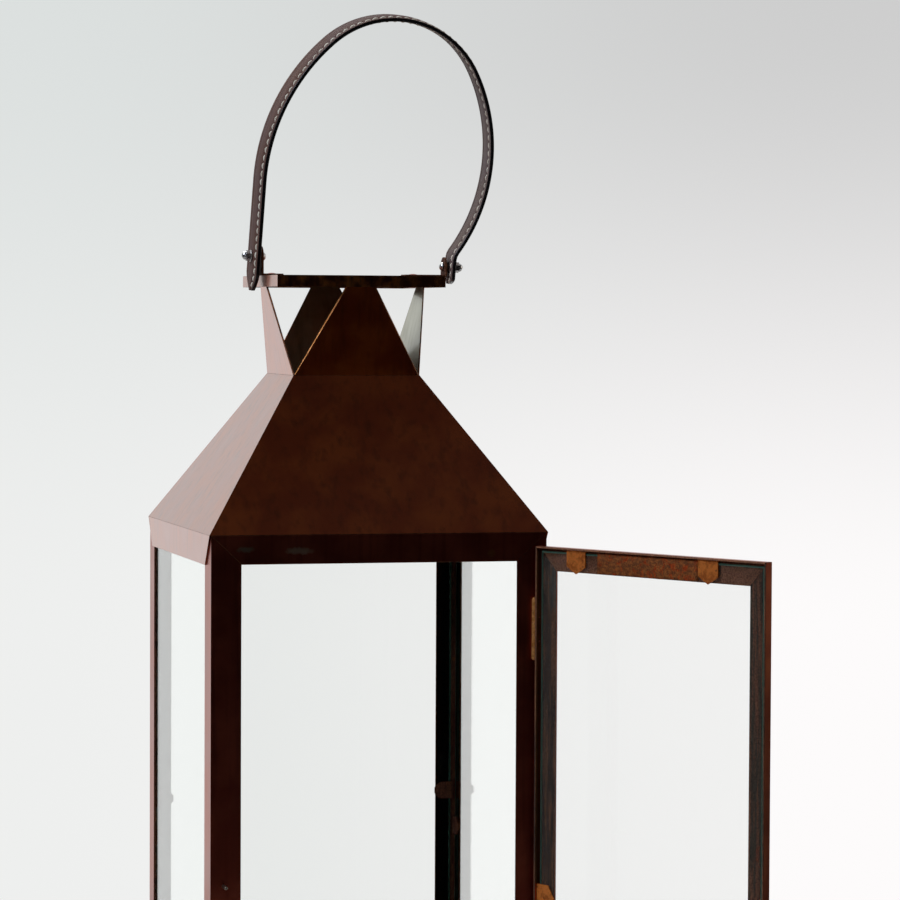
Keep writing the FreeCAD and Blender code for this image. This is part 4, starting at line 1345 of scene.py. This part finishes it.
def stitch_tree() -> Tree:
    """The tree that sews: one bowed length of thread at every pitch along each line.

    Returns:
        A tree with inputs Pitch, Length, Thread, Slant, Seed and Finish.
    """
    tree = bpy.data.node_groups.new("sewn_line", "GeometryNodeTree")
    face = tree.interface
    face.new_socket("Geometry", in_out="INPUT", socket_type="NodeSocketGeometry")
    for name in ("Pitch", "Length", "Thread", "Slant"):
        face.new_socket(name, in_out="INPUT", socket_type="NodeSocketFloat")
    face.new_socket("Seed", in_out="INPUT", socket_type="NodeSocketInt")
    face.new_socket("Finish", in_out="INPUT", socket_type="NodeSocketMaterial")
    face.new_socket("Geometry", in_out="OUTPUT", socket_type="NodeSocketGeometry")
    given = add_node(tree, "NodeGroupInput").outputs
    line = add_node(tree, "GeometryNodeMeshToCurve", {"Mesh": given["Geometry"]})
    points = add_node(tree, "GeometryNodeResampleCurve", {
        "Curve": line.outputs[0], "Length": given["Pitch"]}, mode="LENGTH")

    # One stitch: its ends dip into the leather and its middle stands proud.
    half = add_node(tree, "ShaderNodeMath", {0: given["Length"], 1: 0.5}, operation="MULTIPLY")
    back = add_node(tree, "ShaderNodeMath", {0: half.outputs[0], 1: -1.0}, operation="MULTIPLY")
    sunk = add_node(tree, "ShaderNodeMath", {0: given["Thread"], 1: STITCH_DIP}, operation="MULTIPLY")
    proud = add_node(tree, "ShaderNodeMath", {0: given["Thread"], 1: STITCH_RISE}, operation="MULTIPLY")
    start = add_node(tree, "ShaderNodeCombineXYZ", {"X": back.outputs[0], "Z": sunk.outputs[0]})
    middle = add_node(tree, "ShaderNodeCombineXYZ", {"Z": proud.outputs[0]})
    end = add_node(tree, "ShaderNodeCombineXYZ", {"X": half.outputs[0], "Z": sunk.outputs[0]})
    bow = add_node(tree, "GeometryNodeCurveQuadraticBezier", {
        "Resolution": 7, "Start": start.outputs[0], "Middle": middle.outputs[0], "End": end.outputs[0]})
    round_thread = add_node(tree, "GeometryNodeCurvePrimitiveCircle", {
        "Resolution": 7, "Radius": given["Thread"]})
    stitch = add_node(tree, "GeometryNodeCurveToMesh", {
        "Curve": bow.outputs[0], "Profile Curve": round_thread.outputs[0], "Fill Caps": True})

    # Each stitch looks outward, follows the line and slants a little.
    out = add_node(tree, "GeometryNodeInputNamedAttribute", {"Name": "out"}, data_type="FLOAT_VECTOR")
    tangent = add_node(tree, "GeometryNodeInputTangent")
    upright = add_node(tree, "FunctionNodeAlignRotationToVector", {"Vector": out.outputs[0]}, axis="Z")
    aimed = add_node(tree, "FunctionNodeAlignRotationToVector", {
        "Rotation": upright.outputs[0], "Vector": tangent.outputs[0]}, axis="X", pivot_axis="Z")
    sway = add_node(tree, "FunctionNodeRandomValue", {
        2: -STITCH_SWAY, 3: STITCH_SWAY, "Seed": given["Seed"]}, data_type="FLOAT")
    slant = add_node(tree, "ShaderNodeMath", {0: given["Slant"], 1: sway.outputs[1]}, operation="ADD")
    slanted = add_node(tree, "ShaderNodeCombineXYZ", {"Z": slant.outputs[0]})
    turned = add_node(tree, "FunctionNodeRotateRotation", {
        "Rotation": aimed.outputs[0], "Rotate By": slanted.outputs[0]}, rotation_space="LOCAL")
    size = add_node(tree, "FunctionNodeRandomValue", {
        2: STITCH_SIZES[0], 3: STITCH_SIZES[1], "Seed": given["Seed"]}, data_type="FLOAT")
    sewn = add_node(tree, "GeometryNodeInstanceOnPoints", {
        "Points": points.outputs[0], "Instance": stitch.outputs[0], "Rotation": turned.outputs[0],
        "Scale": size.outputs[1]})
    real = add_node(tree, "GeometryNodeRealizeInstances", {"Geometry": sewn.outputs[0]})
    soft = add_node(tree, "GeometryNodeSetShadeSmooth", {"Geometry": real.outputs[0]})
    dressed = add_node(tree, "GeometryNodeSetMaterial", {
        "Geometry": soft.outputs[0], "Material": given["Finish"]})
    add_node(tree, "NodeGroupOutput", {"Geometry": dressed.outputs[0]})
    return tree


def grow_along(piece: bpy.types.Object, tree: Tree, values: dict[str, Any]) -> bpy.types.Object:
    """Runs a geometry tree on a piece and keeps the result as plain mesh.

    Args:
        piece: the object that holds the lines.
        tree: the tree to run.
        values: input names and values.

    Returns:
        The same object with the new mesh.
    """
    modifier = piece.modifiers.new(tree.name, "NODES")
    modifier.node_group = tree
    for item in tree.interface.items_tree:
        if item.in_out == "INPUT" and item.name in values:
            modifier[item.identifier] = values[item.name]
    return plain_mesh(piece)


# ---------------------------------------------------------------- studio
@dataclass(frozen=True)
class Softbox:
    """A large soft light."""

    name: str
    place: tuple[float, float, float]
    aim: tuple[float, float, float]
    size: float
    power: float
    tint: str = "#FFFFFF"

    def build(self) -> None:
        """Adds the light, turned to its aim."""
        lamp = bpy.data.lights.new(self.name, "AREA")
        lamp.shape = "SQUARE"
        lamp.size = self.size
        lamp.energy = self.power
        lamp.color = srgb(self.tint)[:3]
        holder = bpy.data.objects.new(self.name, lamp)
        holder.location = self.place
        way = Vector(self.aim) - Vector(self.place)
        holder.rotation_euler = way.to_track_quat("-Z", "Y").to_euler()
        bpy.context.scene.collection.objects.link(holder)


@dataclass
class Studio:
    """A pale floor, a bright backdrop behind and a dim room in front, with a long lens on the lantern."""

    lens: float = 143.2
    stand: tuple[float, float, float] = (-0.484, -2.093, 0.538)
    turn_right: float = 14.75
    look_down: float = 2.145
    roll: float = 0.28
    floor_radius: float = 0.92
    floor_centre: tuple[float, float, float] = (0.05, 0.15, 0.0)
    floor_tones: tuple[str, str] = ("#C9C8C6", "#D2D1CF")
    paper: tuple[str, str, str, str] = ("#EEEFEE", "#FDFBFB", "#DCE0DF", "#CECECE")
    paper_glow: float = 1.14
    front_room: float = 0.006
    ceiling: float = 0.072
    left_wall: float = 0.12
    lights: tuple[Softbox, ...] = (
        Softbox("window_left", (-1.66, -0.5, 1.87), (0, 0, 0.53), 0.8, 22.0, "#E6EEFF"),
        Softbox("above_front", (0.5, -1.1, 1.75), (0.0, -0.1, 0.42), 0.9, 0.12, "#FFF6EC"),
        Softbox("above_back", (-0.3, 1.3, 2.2), (0, 0, 0.3), 1.2, 12.0),
        Softbox("front_left", (-0.95, -1.9, 1.0), (0, 0, 0.5), 0.25, 2.0, "#EEF2FF"),
        Softbox("side_right", (2.4, -0.75, 1.15), (0.1, -0.2, 0.35), 1.3, 9.0, "#FFF4E8"),
    )

    def camera(self) -> None:
        """A long lens at standing distance, a little above the roof."""
        lens = bpy.data.cameras.new("camera")
        lens.lens = self.lens
        lens.sensor_width = 36.0
        holder = bpy.data.objects.new("camera", lens)
        level = Matrix.Rotation(math.radians(90), 4, "X")
        heading = Matrix.Rotation(-math.radians(self.turn_right), 4, "Z")
        pitch = Matrix.Rotation(-math.radians(self.look_down), 4, "X")
        roll = Matrix.Rotation(math.radians(self.roll), 4, "Z")
        holder.matrix_world = Matrix.Translation(self.stand) @ heading @ level @ pitch @ roll
        bpy.context.scene.collection.objects.link(holder)
        bpy.context.scene.camera = holder

    def floor(self) -> None:
        """A wide pale disc with a faint mottle."""
        shape = bmesh.new()
        bmesh.ops.create_circle(shape, cap_ends=True, segments=96, radius=self.floor_radius,
                                matrix=Matrix.Translation(self.floor_centre))
        mesh = bpy.data.meshes.new("floor")
        shape.to_mesh(mesh)
        shape.free()
        material = bpy.data.materials.new("floor_paper")
        material.use_nodes = True
        tree = material.node_tree
        shader = tree.nodes["Principled BSDF"]
        place = add_node(tree, "ShaderNodeTexCoord")
        mottle = add_node(tree, "ShaderNodeTexNoise", {
            "Vector": place.outputs["Object"], "Scale": 4.0, "Detail": 4.0})
        tone = add_node(tree, "ShaderNodeMix", {
            "Factor": mottle.outputs[0], COLOUR_A: srgb(self.floor_tones[0]),
            COLOUR_B: srgb(self.floor_tones[1])}, data_type="RGBA")
        fill(tree, shader, {"Base Color": tone.outputs[COLOUR_OUT], "Roughness": 0.9})
        mesh.materials.append(material)
        new_piece("floor", mesh)

    def surroundings(self) -> None:
        """Bright paper behind the lantern, a dim room in front of it; the paper shows all round."""
        world = bpy.data.worlds.new("studio")
        bpy.context.scene.world = world
        world.use_nodes = True
        tree = world.node_tree
        tree.nodes.clear()
        place = add_node(tree, "ShaderNodeTexCoord")
        axes = add_node(tree, "ShaderNodeSeparateXYZ", {"Vector": place.outputs["Generated"]})
        # Paper: four tones, from left to right and from low to high.
        across = add_node(tree, "ShaderNodeMapRange", {
            "Value": axes.outputs["X"], "From Min": 0.13, "From Max": 0.36},
            interpolation_type="SMOOTHSTEP")
        up = add_node(tree, "ShaderNodeMapRange", {
            "Value": axes.outputs["Z"], "From Min": -0.09, "From Max": 0.09},
            interpolation_type="SMOOTHSTEP")
        low_left, low_right, high_left, high_right = (srgb(code) for code in self.paper)
        low = add_node(tree, "ShaderNodeMix", {
            "Factor": across.outputs[0], COLOUR_A: low_left, COLOUR_B: low_right}, data_type="RGBA")
        high = add_node(tree, "ShaderNodeMix", {
            "Factor": across.outputs[0], COLOUR_A: high_left, COLOUR_B: high_right}, data_type="RGBA")
        paper = add_node(tree, "ShaderNodeMix", {
            "Factor": up.outputs[0], COLOUR_A: low.outputs[COLOUR_OUT],
            COLOUR_B: high.outputs[COLOUR_OUT]}, data_type="RGBA")
        # The room that shiny faces mirror: dim in front, bright behind, darker at the left.
        overhead = add_node(tree, "ShaderNodeMapRange", {
            "Value": axes.outputs["Z"], "From Min": 0.35, "From Max": 0.9, "To Min": self.front_room,
            "To Max": self.ceiling}, interpolation_type="SMOOTHSTEP")
        behind = add_node(tree, "ShaderNodeMapRange", {
            "Value": axes.outputs["Y"], "From Min": -0.10, "From Max": 0.35, "To Min": overhead.outputs[0],
            "To Max": self.paper_glow}, interpolation_type="SMOOTHSTEP")
        left_wall = add_node(tree, "ShaderNodeMapRange", {
            "Value": axes.outputs["X"], "From Min": -0.9, "From Max": -0.5, "To Min": self.left_wall},
            interpolation_type="SMOOTHSTEP")
        shaded = add_node(tree, "ShaderNodeMath", {
            0: behind.outputs[0], 1: left_wall.outputs[0]}, operation="MULTIPLY")
        room = add_node(tree, "ShaderNodeMix", {
            "Factor": 1.0, COLOUR_A: paper.outputs[COLOUR_OUT], COLOUR_B: shaded.outputs[0]},
            data_type="RGBA", blend_type="MULTIPLY")
        # Rays that have met nothing but glass see the paper itself.
        ray = add_node(tree, "ShaderNodeLightPath")
        bounces = add_node(tree, "ShaderNodeMath", {
            0: ray.outputs["Glossy Depth"], 1: ray.outputs["Diffuse Depth"]}, operation="ADD")
        unbounced = add_node(tree, "ShaderNodeMath", {
            0: bounces.outputs[0], 1: 0.5}, operation="LESS_THAN")
        through = add_node(tree, "ShaderNodeMath", {
            0: ray.outputs["Is Transmission Ray"], 1: unbounced.outputs[0]}, operation="MULTIPLY")
        direct = add_node(tree, "ShaderNodeMath", {
            0: ray.outputs["Is Camera Ray"], 1: through.outputs[0]}, operation="MAXIMUM")
        seen = add_node(tree, "ShaderNodeMix", {
            "Factor": direct.outputs[0], COLOUR_A: room.outputs[COLOUR_OUT],
            COLOUR_B: paper.outputs[COLOUR_OUT]}, data_type="RGBA")
        glow = add_node(tree, "ShaderNodeBackground", {"Color": seen.outputs[COLOUR_OUT]})
        add_node(tree, "ShaderNodeOutputWorld", {"Surface": glow.outputs[0]})

    def build(self) -> None:
        """Camera, floor, surroundings and lights."""
        bpy.context.scene.view_settings.view_transform = "Standard"
        self.camera()
        self.floor()
        self.surroundings()
        for light in self.lights:
            light.build()


def main() -> None:
    """Builds every sub-assembly in order."""
    logging.basicConfig(level=logging.INFO, format="%(name)s: %(message)s")
    for part in (Carcass(), Roof(), Glazing(), Door(), Handle(), Studio()):
        part.build()
        log.info("%s done", type(part).__name__)


if __name__ == "__main__":
    main()
